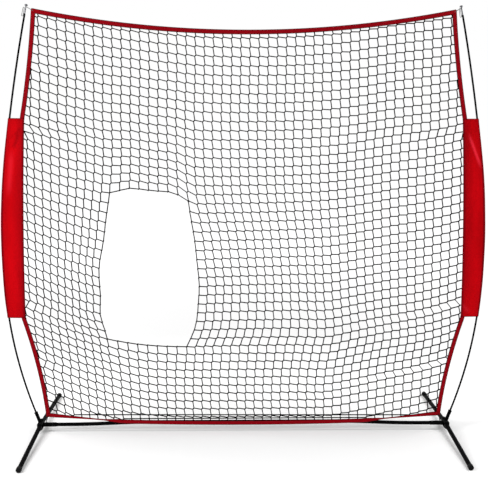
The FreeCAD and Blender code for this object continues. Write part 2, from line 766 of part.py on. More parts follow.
def bottom_line(share):
    x = BOTTOM_CORNER[0] * (2 * share - 1)
    near = min(1.0, abs(x) / BOTTOM_BREAK[0])
    z = BOTTOM_MIDDLE + (BOTTOM_BREAK[1] - BOTTOM_MIDDLE) * near ** 2
    if abs(x) > BOTTOM_BREAK[0]:
        beyond = (abs(x) - BOTTOM_BREAK[0]) / (BOTTOM_CORNER[0] - BOTTOM_BREAK[0])
        z += (BOTTOM_CORNER[1] - BOTTOM_BREAK[1]) * beyond
    return (x, z)


def side_line(share):
    """Right edge from the top corner, share 0, to the bottom corner, share 1."""
    z = TOP_CORNER[1] + (BOTTOM_CORNER[1] - TOP_CORNER[1]) * share
    if z > SLEEVE_TOP[1]:
        return (bowed_x(TOP_CORNER, SLEEVE_TOP, -UPPER_SIDE_BOW, z), z)
    if z > SLEEVE_FOOT[1]:
        return (bowed_x(SLEEVE_TOP, SLEEVE_FOOT, SLEEVE_BOW, z), z)
    return (bowed_x(SLEEVE_FOOT, BOTTOM_CORNER, -LOWER_SIDE_BOW, z), z)


def hung_point(column, row):
    """Place of a knot if the mesh hung evenly between its four edges, with no opening."""
    across = column / sum(REAL_COLUMN_COUNTS)
    down = row / sum(REAL_ROW_COUNTS)
    top = top_line(across)
    bottom = bottom_line(across)
    right = side_line(down)
    left = flipped(right)
    x = (1 - down) * top[0] + down * bottom[0] + (1 - across) * left[0] + across * right[0]
    z = (1 - down) * top[1] + down * bottom[1] + (1 - across) * left[1] + across * right[1]
    corner_top = TOP_CORNER[0] * (2 * across - 1)
    corner_bottom = BOTTOM_CORNER[0] * (2 * across - 1)
    x -= (1 - down) * corner_top + down * corner_bottom
    z -= (1 - down) * TOP_CORNER[1] + down * BOTTOM_CORNER[1]
    return (x, z)


def opening_point(across, down):
    """Point of the opening's edge, from its corners and the bow of each side."""
    x = ((1 - down) * ((1 - across) * OPENING_TOP_LEFT[0] + across * OPENING_TOP_RIGHT[0])
         + down * ((1 - across) * OPENING_BOTTOM_LEFT[0] + across * OPENING_BOTTOM_RIGHT[0]))
    z = ((1 - down) * ((1 - across) * OPENING_TOP_LEFT[1] + across * OPENING_TOP_RIGHT[1])
         + down * ((1 - across) * OPENING_BOTTOM_LEFT[1] + across * OPENING_BOTTOM_RIGHT[1]))
    x += 4 * down * (1 - down) * (across * OPENING_RIGHT_BOW - (1 - across) * OPENING_LEFT_BOW)
    z += 4 * across * (1 - across) * ((1 - down) * OPENING_TOP_BOW - down * OPENING_BOTTOM_BOW)
    return (x, z)


def fade(count, shares):
    """1 beside the opening and 0 at the net's edge; and the nearest place on the opening."""
    start = shares[0]
    end = shares[0] + shares[1]
    if count < start:
        return count / start, 0.0
    if count > end:
        return (sum(shares) - count) / shares[2], 1.0
    return 1.0, (count - start) / shares[1]


def mesh_point(column, row):
    """Place of a knot of the real mesh, counted from the top left corner."""
    x, z = hung_point(column, row)
    fade_x, across = fade(column, REAL_COLUMN_COUNTS)
    fade_z, down = fade(row, REAL_ROW_COUNTS)
    wanted = opening_point(across, down)
    nearest_column = REAL_COLUMN_COUNTS[0] + across * REAL_COLUMN_COUNTS[1]
    nearest_row = REAL_ROW_COUNTS[0] + down * REAL_ROW_COUNTS[1]
    hung = hung_point(nearest_column, nearest_row)
    pull = fade_x * fade_z
    return (x + (wanted[0] - hung[0]) * pull, z + (wanted[1] - hung[1]) * pull)


def grid_lines(drawn, real):
    """Counts of the real mesh at which the drawn mesh has its strands."""
    lines = [0.0]
    start = 0.0
    for count, width in zip(drawn, real):
        for k in range(count):
            lines.append(start + width * (k + 1) / count)
        start += width
    return lines


def shrunk_loop(points, distance):
    """Polygon whose sides lie inside the given one by this distance."""
    count = len(points)
    sides = []
    for k in range(count):
        a = points[k]
        b = points[(k + 1) % count]
        length = math.hypot(b[0] - a[0], b[1] - a[1])
        normal = ((b[1] - a[1]) / length, -(b[0] - a[0]) / length)
        start = (a[0] + normal[0] * distance, a[1] + normal[1] * distance)
        sides.append((start, ((b[0] - a[0]) / length, (b[1] - a[1]) / length)))
    result = []
    for k in range(count):
        p, d = sides[k - 1]
        q, e = sides[k]
        cross = d[0] * e[1] - d[1] * e[0]
        if abs(cross) < 1e-6:
            result.append(q)
        else:
            t = ((q[0] - p[0]) * e[1] - (q[1] - p[1]) * e[0]) / cross
            result.append((p[0] + d[0] * t, p[1] + d[1] * t))
    return result


def opening_loop(columns, rows):
    """The target opening's edge, clockwise along the strands round it."""
    first_column = DRAWN_COLUMN_COUNTS[0]
    last_column = first_column + DRAWN_COLUMN_COUNTS[1]
    first_row = DRAWN_ROW_COUNTS[0]
    last_row = first_row + DRAWN_ROW_COUNTS[1]
    loop = [(columns[c], rows[first_row]) for c in range(first_column, last_column)]
    loop += [(columns[last_column], rows[r]) for r in range(first_row, last_row)]
    loop += [(columns[c], rows[last_row]) for c in range(last_column, first_column, -1)]
    loop += [(columns[first_column], rows[r]) for r in range(last_row, first_row, -1)]
    return [mesh_point(c, r) for c, r in loop]


def in_opening(c, r):
    across = DRAWN_COLUMN_COUNTS[0] <= c < DRAWN_COLUMN_COUNTS[0] + DRAWN_COLUMN_COUNTS[1]
    return across and DRAWN_ROW_COUNTS[0] <= r < DRAWN_ROW_COUNTS[0] + DRAWN_ROW_COUNTS[1]


def mesh_square(columns, rows, c, r):
    """Hole of one drawn square, inside the strands round it."""
    corners = [(columns[c], rows[r]), (columns[c + 1], rows[r]),
               (columns[c + 1], rows[r + 1]), (columns[c], rows[r + 1])]
    points = [mesh_point(u, v) for u, v in corners]
    return shrunk_loop(points, MESH_STRAND / 2)


def edge_inset(lines):
    """Move the outer strands in from the tape's middle line to its inner edge."""
    reach = TAPE_WIDTH / 2 + SEAM_GAP + MESH_STRAND / 2
    pitch = BASE_WIDTH / sum(REAL_COLUMN_COUNTS)
    moved = list(lines)
    moved[0] = reach / pitch
    moved[-1] = lines[-1] - reach / pitch
    return moved


def mesh_outline():
    """Outer edge of the mesh: the area inside the tape and the sleeves."""
    sag = BOTTOM_BREAK[1] - BOTTOM_MIDDLE
    right = [arc_edge(TOP_CORNER, SLEEVE_TOP, -UPPER_SIDE_BOW), arc_edge(SLEEVE_TOP, SLEEVE_FOOT, SLEEVE_BOW),
             arc_edge(SLEEVE_FOOT, BOTTOM_CORNER, -LOWER_SIDE_BOW),
             arc_edge(BOTTOM_BREAK, BOTTOM_CORNER, 0)]
    edges = right + [mirrored(e) for e in right]
    edges.append(arc_edge(flipped(TOP_CORNER), TOP_CORNER, -TOP_SAG))
    edges.append(arc_edge(flipped(BOTTOM_BREAK), BOTTOM_BREAK, -sag))
    area = Part.Face(Part.Wire(Part.__sortEdges__(edges)))
    half = TAPE_WIDTH / 2 + SEAM_GAP
    sides = [side_band(True, half), side_band(False, half), sleeve_band(half),
             disc(SLEEVE_TOP, half), disc(SLEEVE_FOOT, half),
             disc(TOP_CORNER, half), disc(BOTTOM_CORNER, half)]
    bands = sides + [mirrored(s) for s in sides] + [top_band(half)] + bottom_bands(half)
    area = area.cut(bands)
    largest = sorted(area.Faces, key=lambda f: f.Area)[-1]
    return largest.OuterWire


def net_mesh():
    columns = edge_inset(grid_lines(DRAWN_COLUMN_COUNTS, REAL_COLUMN_COUNTS))
    rows = edge_inset(grid_lines(DRAWN_ROW_COUNTS, REAL_ROW_COUNTS))
    holes = [loop_wire(opening_loop(columns, rows))]
    for c in range(len(columns) - 1):
        for r in range(len(rows) - 1):
            if not in_opening(c, r):
                holes.append(loop_wire(mesh_square(columns, rows, c, r)))
    outline = mesh_outline()
    face = Part.Face(outline).cut([Part.Face(h) for h in holes])
    largest = sorted(face.Faces, key=lambda f: f.Area)[-1]
    print("mesh holes:", len(largest.Wires) - 1)
    return thickened(largest, MESH_THICKNESS)


# Elastic loops at the corners

def ring(centre_a, radius_a, centre_b, radius_b, across_hint):
    """Closed cord round two circles in one plane, as a solid."""
    along = centre_b - centre_a
    length = along.Length
    along.normalize()
    across = across_hint - along * along.dot(across_hint)
    across.normalize()
    tilt = math.asin((radius_b - radius_a) / length)
    contact = math.pi / 2 + tilt

    def rim(centre, radius, turn):
        return centre + (along * math.cos(turn) + across * math.sin(turn)) * radius

    edges = [
        Part.Arc(rim(centre_b, radius_b, contact), rim(centre_b, radius_b, 0),
                 rim(centre_b, radius_b, -contact)).toShape(),
        Part.LineSegment(rim(centre_b, radius_b, -contact), rim(centre_a, radius_a, -contact)).toShape(),
        Part.Arc(rim(centre_a, radius_a, -contact), rim(centre_a, radius_a, math.pi),
                 rim(centre_a, radius_a, contact)).toShape(),
        Part.LineSegment(rim(centre_a, radius_a, contact), rim(centre_b, radius_b, contact)).toShape()]
    path = Part.Wire(edges)
    start = rim(centre_b, radius_b, contact)
    way = edges[0].tangentAt(edges[0].FirstParameter)
    profile = Part.Wire(Part.makeCircle(CORD_DIAMETER / 2, start, way))
    return path.makePipeShell([profile], True, False)


def corner_loop(corner, bend, target, axis, target_radius):
    """Loop from the eyelet at a corner to a rod or tube that it goes round at a slant."""
    start = flat(corner, NET_Y)
    towards = target - start
    towards.normalize()
    reach = (target_radius + CORD_DIAMETER / 2 + LOOP_PLAY) / towards.cross(axis).Length
    return ring(start + towards * bend, bend, target, reach, Y_AXIS)


def top_loop():
    neck_way = heading_vector(LOOP_LEAN)
    return corner_loop(TOP_CORNER, TOP_LOOP_BEND, LOOP_PLACE, neck_way, TIP_NECK_DIAMETER / 2)


def loop_tail(side):
    """Free end of the top loop, which hangs beside the tip, on the left of each pole."""
    point, angle = pole_state(3 * SECTION_LENGTH + TOP_LOOP_PLACE - TAIL_DROP)
    radius = TAIL_WIDTH / 2 - CORD_DIAMETER / 2
    low_radius = radius + TAIL_FLARE
    beside = POLE_DIAMETER / 2 + CORD_DIAMETER / 2 + TAIL_PLAY
    top = vec(side * point.x, 0, point.z)
    foot = top + vec(-side * math.sin(angle), 0, -math.cos(angle)) * TAIL_LENGTH
    top.x -= beside + radius
    foot.x -= beside + low_radius
    return ring(top, radius, foot, low_radius, X_AXIS)


def bottom_loop():
    """Loop round the arm, beside the hub's plates."""
    target = vec(HUB_X - PLATE_MARGIN - BOTTOM_LOOP_INSET, 0, HUB_HEIGHT)
    return corner_loop(BOTTOM_CORNER, BOTTOM_LOOP_BEND, target, X_AXIS, ARM_DIAMETER / 2)


def group(shapes):
    return Part.makeCompound(shapes)


def build():
    nodes = {}
    arm_bore = BAR_BORE / 2
    coupler_bore = COUPLER_DIAMETER / 2 - COUPLER_WALL
    hub_button_x = HUB_X - HUB_BUTTON_OFFSET
    right_parts = {
        "hub_bracket": hub_bracket(), "crossbar_arm": hub_arm(), "pole_socket": pole_socket(),
        "snap_button": snap_button(hub_button_x, HUB_HEIGHT, -1, ARM_DIAMETER / 2, arm_bore),
        "snap_spring": snap_spring(hub_button_x, HUB_HEIGHT, -1, arm_bore, -1),
        "pole_lower_section": pole_section(0), "pole_middle_section": pole_section(1),
        "pole_upper_section": pole_section(2), "pole_tip": pole_tip(),
        "pole_ferrules": group([pole_ferrule(1), pole_ferrule(2)]),
        "sleeve": sleeve(), "upper_side_tape": side_tape(True), "lower_side_tape": side_tape(False),
        "bottom_corner_loop": bottom_loop()}
    for name, shape in right_parts.items():
        nodes["right_" + name] = shape
        nodes["left_" + name] = mirrored(shape)
    nodes["right_top_corner_loop"] = group([top_loop(), loop_tail(1)])
    nodes["left_top_corner_loop"] = group([mirrored(top_loop()), loop_tail(-1)])
    for name, shape in (("leg", leg_tube()), ("leg_knuckle", leg_knuckle()), ("leg_cap", leg_cap())):
        nodes["right_front_" + name] = shape
        nodes["left_front_" + name] = mirrored(shape)
        nodes["right_rear_" + name] = rear(shape)
        nodes["left_rear_" + name] = rear(mirrored(shape))
    bolts = [pivot_bolt(-1), pivot_bolt(1)]
    nuts = [pivot_nut(-1), pivot_nut(1)]
    nodes["leg_pivot_bolts"] = group(bolts + [mirrored(b) for b in bolts])
    nodes["leg_pivot_nuts"] = group(nuts + [mirrored(n) for n in nuts])
    nodes["right_crossbar"] = crossbar_right()
    nodes["left_crossbar"] = crossbar_left()
    nodes["crossbar_coupler"] = crossbar_coupler()
    nodes["coupler_rivet"] = coupler_rivet()
    nodes["centre_snap_button"] = snap_button(CENTRE_FIXING, BAR_MIDDLE, 1, BAR_DIAMETER / 2, coupler_bore)
    nodes["centre_snap_spring"] = snap_spring(CENTRE_FIXING, BAR_MIDDLE, 1, coupler_bore, -1)
    nodes["top_tape"] = top_tape()
    nodes["bottom_tape"] = bottom_tape()
    nodes["net_mesh"] = net_mesh()
    return nodes


def main():
    os.makedirs("parts", exist_ok=True)
    for name, shape in build().items():
        shape.exportStep("parts/" + name + ".step")
        box = shape.BoundBox
        print("%-28s solids %d valid %s volume %.0f  x %.1f %.1f  y %.1f %.1f  z %.1f %.1f" % (
            name, len(shape.Solids), shape.isValid(), shape.Volume,
            box.XMin, box.XMax, box.YMin, box.YMax, box.ZMin, box.ZMax))


main()
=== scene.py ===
# %% [markdown]
# A pitching target net, dressed on its CAD frame
#
# The net hangs between two sprung poles on a folding steel base. The steel, the poles and
# the tips come from the CAD as they are and only get their finishes. The soft goods are made
# here: the knotted mesh with its target opening, the red binding, the sleeves and the elastic.

# %% Load the frame
import math
from itertools import groupby

import bpy
from mathutils import Matrix, Vector, noise


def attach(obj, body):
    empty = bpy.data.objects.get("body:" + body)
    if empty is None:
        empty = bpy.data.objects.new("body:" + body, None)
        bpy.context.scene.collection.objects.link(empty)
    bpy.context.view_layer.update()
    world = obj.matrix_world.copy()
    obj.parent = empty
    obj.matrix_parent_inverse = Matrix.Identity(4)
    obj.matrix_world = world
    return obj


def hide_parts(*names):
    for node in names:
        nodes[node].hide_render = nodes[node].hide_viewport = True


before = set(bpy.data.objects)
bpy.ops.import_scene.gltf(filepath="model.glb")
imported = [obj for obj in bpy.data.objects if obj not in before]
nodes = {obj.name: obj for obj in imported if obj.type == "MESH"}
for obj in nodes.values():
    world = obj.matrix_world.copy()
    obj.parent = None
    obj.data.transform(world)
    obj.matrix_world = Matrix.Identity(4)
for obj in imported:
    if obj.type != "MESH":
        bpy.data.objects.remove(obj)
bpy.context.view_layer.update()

# %% [markdown]
# Sizes are given in millimetres, as in the CAD, and become metres where a vertex is placed.
# The poles' line is worked out here in the same way as in the CAD, so that the sleeves and
# the net's corners stay on the poles.

# %% Sizes that the soft goods share with the CAD
MM = 0.001
HUB_X = 1066.8
HUB_HEIGHT = 36.0
PLATE_TOP = 50.1
PLATE_MARGIN = 13.5
ARM_DIAMETER = 22.2
BAR_MIDDLE = 47.5
POLE_DIAMETER = 9.5
POLE_LEAN = math.radians(19.7)
SECTION_LENGTH = 706.0
SECTION_TURNS = (16.4, 11.0, 4.5)
SECTION_GAP = 0.3
SOCKET_LENGTH = 57.0
NECK_PLACE = 34.5
NECK_DIAMETER = 5.0
TAPE_WIDTH = 23.0
NET_Y = -11.075
CORD_DIAMETER = 2.6
SLEEVE_HEIGHT = 1019.0
SLEEVE_GIRTH = 182.0
TOP_SAG = 98.0
UPPER_SIDE_BOW = -7.0
SLEEVE_BOW = 6.0
LOWER_SIDE_BOW = -14.0

# Corners and breaks of the tape's middle line. The first number of each pair goes inwards: from
# the tip's neck, from the pole's axis or from the hub. The second goes down from the one before,
# or up from the hub's or the crossbar's axis.
TOP_CORNER_STEP = (36.5, 21.0)
SLEEVE_TOP_STEP = (64.5, 517.5)
SLEEVE_FOOT_STEP = (77.5, SLEEVE_HEIGHT)
BOTTOM_CORNER_STEP = (42.0, 56.5)
BOTTOM_BREAK_STEP = (446.8, 6.5)
BOTTOM_MIDDLE_DROP = 2.5

# The bottom tape is bunched into a thin roll on its way from the hub to the crossbar: the places
# along X between which it is bunched at all, and between which it is fully bunched.
BUNCH_FLAT = (655.0, 1010.0)
BUNCH_THIN = (735.0, 790.0)
ROLL_HALF_WIDTH = 3.0
SEWN_IN = 1.5
HALVINGS = 40


def heading(angle):
    return Vector((math.sin(angle), 0, math.cos(angle)))


def step_along(point, angle, length, turn):
    """Go along a straight or bent piece of pole; return the new point and angle."""
    if turn == 0:
        return point + heading(angle) * length, angle
    side = Vector((math.cos(angle), 0, -math.sin(angle)))
    new_side = Vector((math.cos(angle + turn), 0, -math.sin(angle + turn)))
    return point + (side - new_side) * (length / turn), angle + turn


def pole_pieces():
    turns = [-math.radians(t) for t in SECTION_TURNS]
    return [(SOCKET_LENGTH, 0), (SECTION_LENGTH - SOCKET_LENGTH, turns[0]),
            (SECTION_LENGTH, turns[1]), (SECTION_LENGTH, turns[2])]


def pole_state(distance):
    """Point and angle of the right pole's axis at this distance from its foot."""
    foot = PLATE_TOP + POLE_DIAMETER / 2 * math.sin(POLE_LEAN) + SECTION_GAP
    point = Vector((HUB_X + (foot - HUB_HEIGHT) * math.tan(POLE_LEAN), 0, foot))
    angle = POLE_LEAN
    for length, turn in pole_pieces():
        if distance <= length:
            return step_along(point, angle, distance, turn * distance / length)
        point, angle = step_along(point, angle, length, turn)
        distance -= length
    return point + heading(angle) * distance, angle


def pole_x(height):
    """X of the right pole's axis at this height, by halving."""
    low = 0.0
    high = 3 * SECTION_LENGTH
    for _ in range(HALVINGS):
        middle = (low + high) / 2
        if pole_state(middle)[0].z < height:
            low = middle
        else:
            high = middle
    return pole_state(low)[0].x


def pole_corner(step, above):
    """Point beside the pole, this far in from its axis and this far below the one above."""
    inwards, down = step
    height = above[1] - down
    return pole_x(height) - inwards, height


LOOP_POINT, LOOP_LEAN = pole_state(3 * SECTION_LENGTH + NECK_PLACE)
TOP_CORNER = (LOOP_POINT.x - TOP_CORNER_STEP[0], LOOP_POINT.z - TOP_CORNER_STEP[1])
SLEEVE_TOP = pole_corner(SLEEVE_TOP_STEP, TOP_CORNER)
SLEEVE_FOOT = pole_corner(SLEEVE_FOOT_STEP, SLEEVE_TOP)
BOTTOM_CORNER = (HUB_X - BOTTOM_CORNER_STEP[0], HUB_HEIGHT + BOTTOM_CORNER_STEP[1])
BOTTOM_BREAK = (HUB_X - BOTTOM_BREAK_STEP[0], BAR_MIDDLE + BOTTOM_BREAK_STEP[1])
BOTTOM_MIDDLE = BAR_MIDDLE - BOTTOM_MIDDLE_DROP
print("net corners:", [round(v, 1) for v in (*TOP_CORNER, *BOTTOM_CORNER)])


# %% Edges of the net
def bowed_x(upper, lower, bow, z):
    """X at this height on a long flat arc that stands off its chord by bow."""
    share = (upper[1] - z) / (upper[1] - lower[1])
    return upper[0] + (lower[0] - upper[0]) * share + 4 * bow * share * (1 - share)


def side_x(z):
    """Distance of the net's side edge from the middle at this height."""
    if z > SLEEVE_TOP[1]:
        return bowed_x(TOP_CORNER, SLEEVE_TOP, UPPER_SIDE_BOW, z)
    if z > SLEEVE_FOOT[1]:
        return bowed_x(SLEEVE_TOP, SLEEVE_FOOT, SLEEVE_BOW, z)
    return bowed_x(SLEEVE_FOOT, BOTTOM_CORNER, LOWER_SIDE_BOW, z)


def top_z(x):
    """Height of the top edge, an arc through both corners that sags between them."""
    half = TOP_CORNER[0]
    radius = (half ** 2 + TOP_SAG ** 2) / (2 * TOP_SAG)
    return TOP_CORNER[1] - TOP_SAG + radius - math.sqrt(radius ** 2 - x ** 2)


def bottom_z(x):
    """Height of the bottom edge: low on the crossbar, then up to the corners."""
    near = min(1.0, abs(x) / BOTTOM_BREAK[0])
    z = BOTTOM_MIDDLE + (BOTTOM_BREAK[1] - BOTTOM_MIDDLE) * near ** 2
    if abs(x) > BOTTOM_BREAK[0]:
        beyond = (abs(x) - BOTTOM_BREAK[0]) / (BOTTOM_CORNER[0] - BOTTOM_BREAK[0])
        z += (BOTTOM_CORNER[1] - BOTTOM_BREAK[1]) * beyond
    return z


def bunch(x):
    """How far the bottom tape is bunched into a roll here, 0 to 1."""
    growing = (abs(x) - BUNCH_FLAT[0]) / (BUNCH_THIN[0] - BUNCH_FLAT[0])
    fading = (BUNCH_FLAT[1] - abs(x)) / (BUNCH_FLAT[1] - BUNCH_THIN[1])
    return max(0.0, min(1.0, growing, fading))


def inside_net(x, z):
    """True where the mesh shows: its threads end just inside the inner edge of the tape."""
    hidden = TAPE_WIDTH / 2 - SEWN_IN
    bottom_hidden = hidden + (ROLL_HALF_WIDTH - SEWN_IN - hidden) * bunch(x)
    return abs(x) < side_x(z) - hidden and bottom_z(x) + bottom_hidden < z < top_z(x) - hidden


# %% [markdown]
# Pieces start as a primitive and are shaped from there. An operator acts on everything that is
# selected, so the selection is cleared first. A skin is a flat grid whose points are carried
# to their places round a section; its two long edges then meet and are merged.

# %% Helpers for making pieces
MERGE_DISTANCE = 0.00001


def new_object(name, data):
    made = bpy.data.objects.new(name, data)
    bpy.context.scene.collection.objects.link(made)
    return made


def clear_selection():
    if bpy.context.object and bpy.context.object.mode != "OBJECT":
        bpy.ops.object.mode_set(mode="OBJECT")
    bpy.ops.object.select_all(action="DESELECT")


def pick(piece):
    clear_selection()
    piece.select_set(True)
    bpy.context.view_layer.objects.active = piece


def apply_modifiers(piece):
    pick(piece)
    for modifier in list(piece.modifiers):
        bpy.ops.object.modifier_apply(modifier=modifier.name)


def finish_piece(piece, material, slot, *replaced):
    """Give a piece its finish and its body, and hide the CAD nodes that it stands for."""
    pick(piece)
    bpy.ops.object.transform_apply(location=True, rotation=True, scale=True)
    piece.data.materials.clear()
    piece.data.materials.append(material)
    if replaced:
        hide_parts(*replaced)
    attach(piece, "root")
    print(piece.name, "faces:", len(piece.data.polygons))
    return piece


def skin(name, stations, around, place, spread, closed_ends=True):
    """Tube of cloth or webbing from two shares, along and round it, both from 0 to 1.

    place gives its points and spread its flat pattern, both in mm.
    """
    clear_selection()
    bpy.ops.mesh.primitive_grid_add(x_subdivisions=stations, y_subdivisions=around, size=1.0)
    piece = bpy.context.object
    piece.name = name
    for vertex in piece.data.vertices:
        vertex.co = place(vertex.co.x + 0.5, vertex.co.y + 0.5) * MM
    for loop in piece.data.uv_layers[0].data:
        flat = spread(*loop.uv)
        loop.uv = (flat[0] * MM, flat[1] * MM)
    bpy.ops.object.mode_set(mode="EDIT")
    bpy.ops.mesh.select_all(action="SELECT")
    bpy.ops.mesh.remove_doubles(threshold=MERGE_DISTANCE)
    if closed_ends:
        bpy.ops.mesh.fill_holes(sides=0)
    bpy.ops.mesh.normals_make_consistent(inside=False)
    bpy.ops.object.mode_set(mode="OBJECT")
    bpy.ops.object.shade_smooth()
    return piece


def cord(name, lines, diameter, sides=6, closed=False):
    """Round cord along each line of points in mm, as one mesh."""
    curve = bpy.data.curves.new(name, "CURVE")
    curve.dimensions = "3D"
    curve.bevel_depth = diameter / 2 * MM
    curve.bevel_resolution = (sides - 4) // 2
    curve.use_fill_caps = not closed
    for line in lines:
        spline = curve.splines.new("POLY")
        spline.points.add(len(line) - 1)
        for point, place in zip(spline.points, line):
            point.co = (place[0] * MM, place[1] * MM, place[2] * MM, 1)
        spline.use_cyclic_u = closed
        spline.use_smooth = True
    pick(new_object(name, curve))
    bpy.ops.object.convert(target="MESH")
    return bpy.context.object


# %% [markdown]
# Materials are node trees. Effects that several of them share are node groups: a group has
# named inputs and outputs, is built once and is placed in each material with its own values.

# %% Helpers for materials
def fill(tree, node, inputs):
    """Give each named input of a node a value or another node's output."""
    for name, value in inputs.items():
        if isinstance(value, bpy.types.NodeSocket):
            tree.links.new(value, node.inputs[name])
        else:
            node.inputs[name].default_value = value


def add(tree, kind, inputs=None, **settings):
    node = tree.nodes.new("ShaderNode" + kind)
    for name, value in settings.items():
        setattr(node, name, value)
    fill(tree, node, inputs or {})
    return node


def math_node(tree, operation, first, second=0.0):
    return add(tree, "Math", {0: first, 1: second}, operation=operation).outputs[0]


def distance_to(tree, value, place):
    return math_node(tree, "ABSOLUTE", math_node(tree, "SUBTRACT", value, place))


def map_range(tree, value, start, end, to_start=0.0, to_end=1.0):
    """Value carried from one range to another and held at both ends."""
    return add(tree, "MapRange", {
        "Value": value, "From Min": start, "From Max": end, "To Min": to_start, "To Max": to_end,
    }).outputs["Result"]


def ramp(tree, value, low, high, low_colour, high_colour):
    """Colour that runs from one to the other as value goes from low to high."""
    node = add(tree, "ValToRGB", {"Fac": value})
    ends = ((low, low_colour), (high, high_colour))
    for element, (position, colour) in zip(node.color_ramp.elements, ends):
        element.position = position
        element.color = colour
    return node.outputs["Color"]


def mix_colour(tree, share, first, second):
    """Mix two colours. A Mix node has inputs for every kind of data: 6 and 7 are its colours."""
    return add(tree, "Mix", {0: share, 6: first, 7: second}, data_type="RGBA").outputs[2]


def cloudy(tree, place, scale, detail):
    return add(tree, "TexNoise", {"Vector": place, "Scale": scale, "Detail": detail}).outputs["Fac"]


def object_place(tree):
    return add(tree, "TexCoord").outputs["Object"]


def parts_of(tree, vector):
    return add(tree, "SeparateXYZ", {"Vector": vector}).outputs


def uv_parts(tree):
    """U and V of the piece's own map, in metres, as X and Y."""
    return parts_of(tree, add(tree, "UVMap").outputs["UV"])


def relief(tree, height, strength, distance):
    """Normal of a surface that stands out with this height."""
    return add(tree, "Bump", {"Strength": strength, "Distance": distance, "Height": height}).outputs["Normal"]


def new_group(name, inputs, outputs):
    """Node group whose inputs and outputs are all plain numbers."""
    tree = bpy.data.node_groups.new(name, "ShaderNodeTree")
    for label, value in inputs.items():
        socket = tree.interface.new_socket(label, in_out="INPUT", socket_type="NodeSocketFloat")
        socket.default_value = value
    for label in outputs:
        tree.interface.new_socket(label, in_out="OUTPUT", socket_type="NodeSocketFloat")
    return tree, tree.nodes.new("NodeGroupInput").outputs, tree.nodes.new("NodeGroupOutput")


def place_group(tree, name, inputs):
    return add(tree, "Group", inputs, node_tree=bpy.data.node_groups[name]).outputs


def new_material(name):
    """Material with its tree and its Principled BSDF."""
    material = bpy.data.materials.new(name)
    material.use_nodes = True
    return material, material.node_tree, material.node_tree.nodes["Principled BSDF"]


def srgb(red, green, blue):
    """Colour as a picture gives it, 0 to 255, made linear for the shader."""
    parts = []
    for value in (red, green, blue):
        value /= 255
        parts.append(value / 12.92 if value <= 0.04045 else ((value + 0.055) / 1.055) ** 2.4)
    return (*parts, 1)


# %% Shared effects
# Where a stitch starts and is full on a sine along its row, and is full and ends across it, in metres.
STITCH_SINE = (-0.6, -0.2)
STITCH_HALF = (0.0003, 0.0008)


def make_grain_group():
    """Fine uneven surface, as on powder coat, rubber or cast metal."""
    tree, given, out = new_group("Grain", {"Scale": 400.0, "Patch scale": 12.0}, ("Fine", "Patches"))
    place = object_place(tree)
    fill(tree, out, {
        "Fine": cloudy(tree, place, given["Scale"], 3.0),
        "Patches": cloudy(tree, place, given["Patch scale"], 5.0)})


def make_weave_group():
    """Threads over and under each other on the piece's own UV map, half a wave for each."""
    tree, given, out = new_group("Weave", {"Threads": 1400.0}, ("Height", "Fleck"))
    parts = uv_parts(tree)
    waves = []
    for distance in (parts["X"], parts["Y"]):
        count = math_node(tree, "MULTIPLY", distance, given["Threads"])
        waves.append(math_node(tree, "SINE", math_node(tree, "MULTIPLY", count, math.pi)))
    fill(tree, out, {
        "Height": math_node(tree, "MULTIPLY", *waves),
        "Fleck": cloudy(tree, object_place(tree), 900.0, 2.0)})


def make_stitch_group():
    """Row of short stitches along the piece, at one distance across it."""
    tree, given, out = new_group("Stitches", {"Across": 0.0, "Place": 0.007, "Pitch": 0.005}, ("Mask",))
    count = math_node(tree, "DIVIDE", uv_parts(tree)["X"], given["Pitch"])
    turns = math_node(tree, "MULTIPLY", count, 2 * math.pi)
    dash = map_range(tree, math_node(tree, "SINE", turns), *STITCH_SINE)
    row = map_range(tree, distance_to(tree, given["Across"], given["Place"]), *STITCH_HALF, 1.0, 0.0)
    fill(tree, out, {"Mask": math_node(tree, "MULTIPLY", dash, row)})


make_grain_group()
make_weave_group()
make_stitch_group()
print("node groups:", [g.name for g in bpy.data.node_groups])


# %% Finishes
STITCH_PITCH = 0.0055
STITCH_HEIGHT = 3.0
RIB_PITCH = 0.005
# Painted on the sleeves' folds: a highlight where the cloth stands out and shade where it sinks in.
PAINTED_FOLD_HIGHLIGHT = srgb(255, 48, 68)
PAINTED_FOLD_SHADE = srgb(120, 0, 6)

# Painted shade on the sleeve beside its seam, at its outline where the cloth turns round the pole, and at its
# ends under the rolled hem; the second seam entry alone is the binding's own dark strip under the seam. For
# each: the line it follows, the distances in metres where it starts and is full, and how much of it there is.
# The outline is this far from the seam.
SLEEVE_BINDING_AND_PAINTED_SHADE = (
    ("seam", 0.045, 0.009, 0.4), ("seam", 0.0125, 0.0045, 0.75),
    ("outline", 0.030, 0.0125, 0.25), ("outline", 0.0130, 0.0095, 0.85),
    ("end", 0.005, 0.0035, 0.8))
SLEEVE_OUTLINE = 0.0948

# In metres: the sleeve's stitches from its seam, its hems' line from its ends and half that line's width, the
# tape's stitches from its middle, and where the tape's painted sheen starts and is full, with painted shade
# towards its edges outside that.
SLEEVE_STITCHES = 0.0085
HEM_LINE = 0.0115
HEM_LINE_HALF = 0.0008
TAPE_STITCHES = 0.0075
TAPE_PAINTED_SHEEN = (0.0105, 0.0055)


def grained(name, dark, light, roughness, metallic=0.0, scale=400.0, bump=0.05, specular=0.5):
    """Paint, rubber or metal: two near tones in patches, with a fine grain in its gloss and bump."""
    material, tree, shader = new_material(name)
    grain = place_group(tree, "Grain", {"Scale": scale})
    fill(tree, shader, {
        "Base Color": ramp(tree, grain["Patches"], 0.35, 0.65, dark, light),
        "Roughness": map_range(tree, grain["Patches"], 0.0, 1.0, *roughness),
        "Normal": relief(tree, grain["Fine"], bump, 0.0003),
        "Metallic": metallic, "Specular IOR Level": specular})
    return material


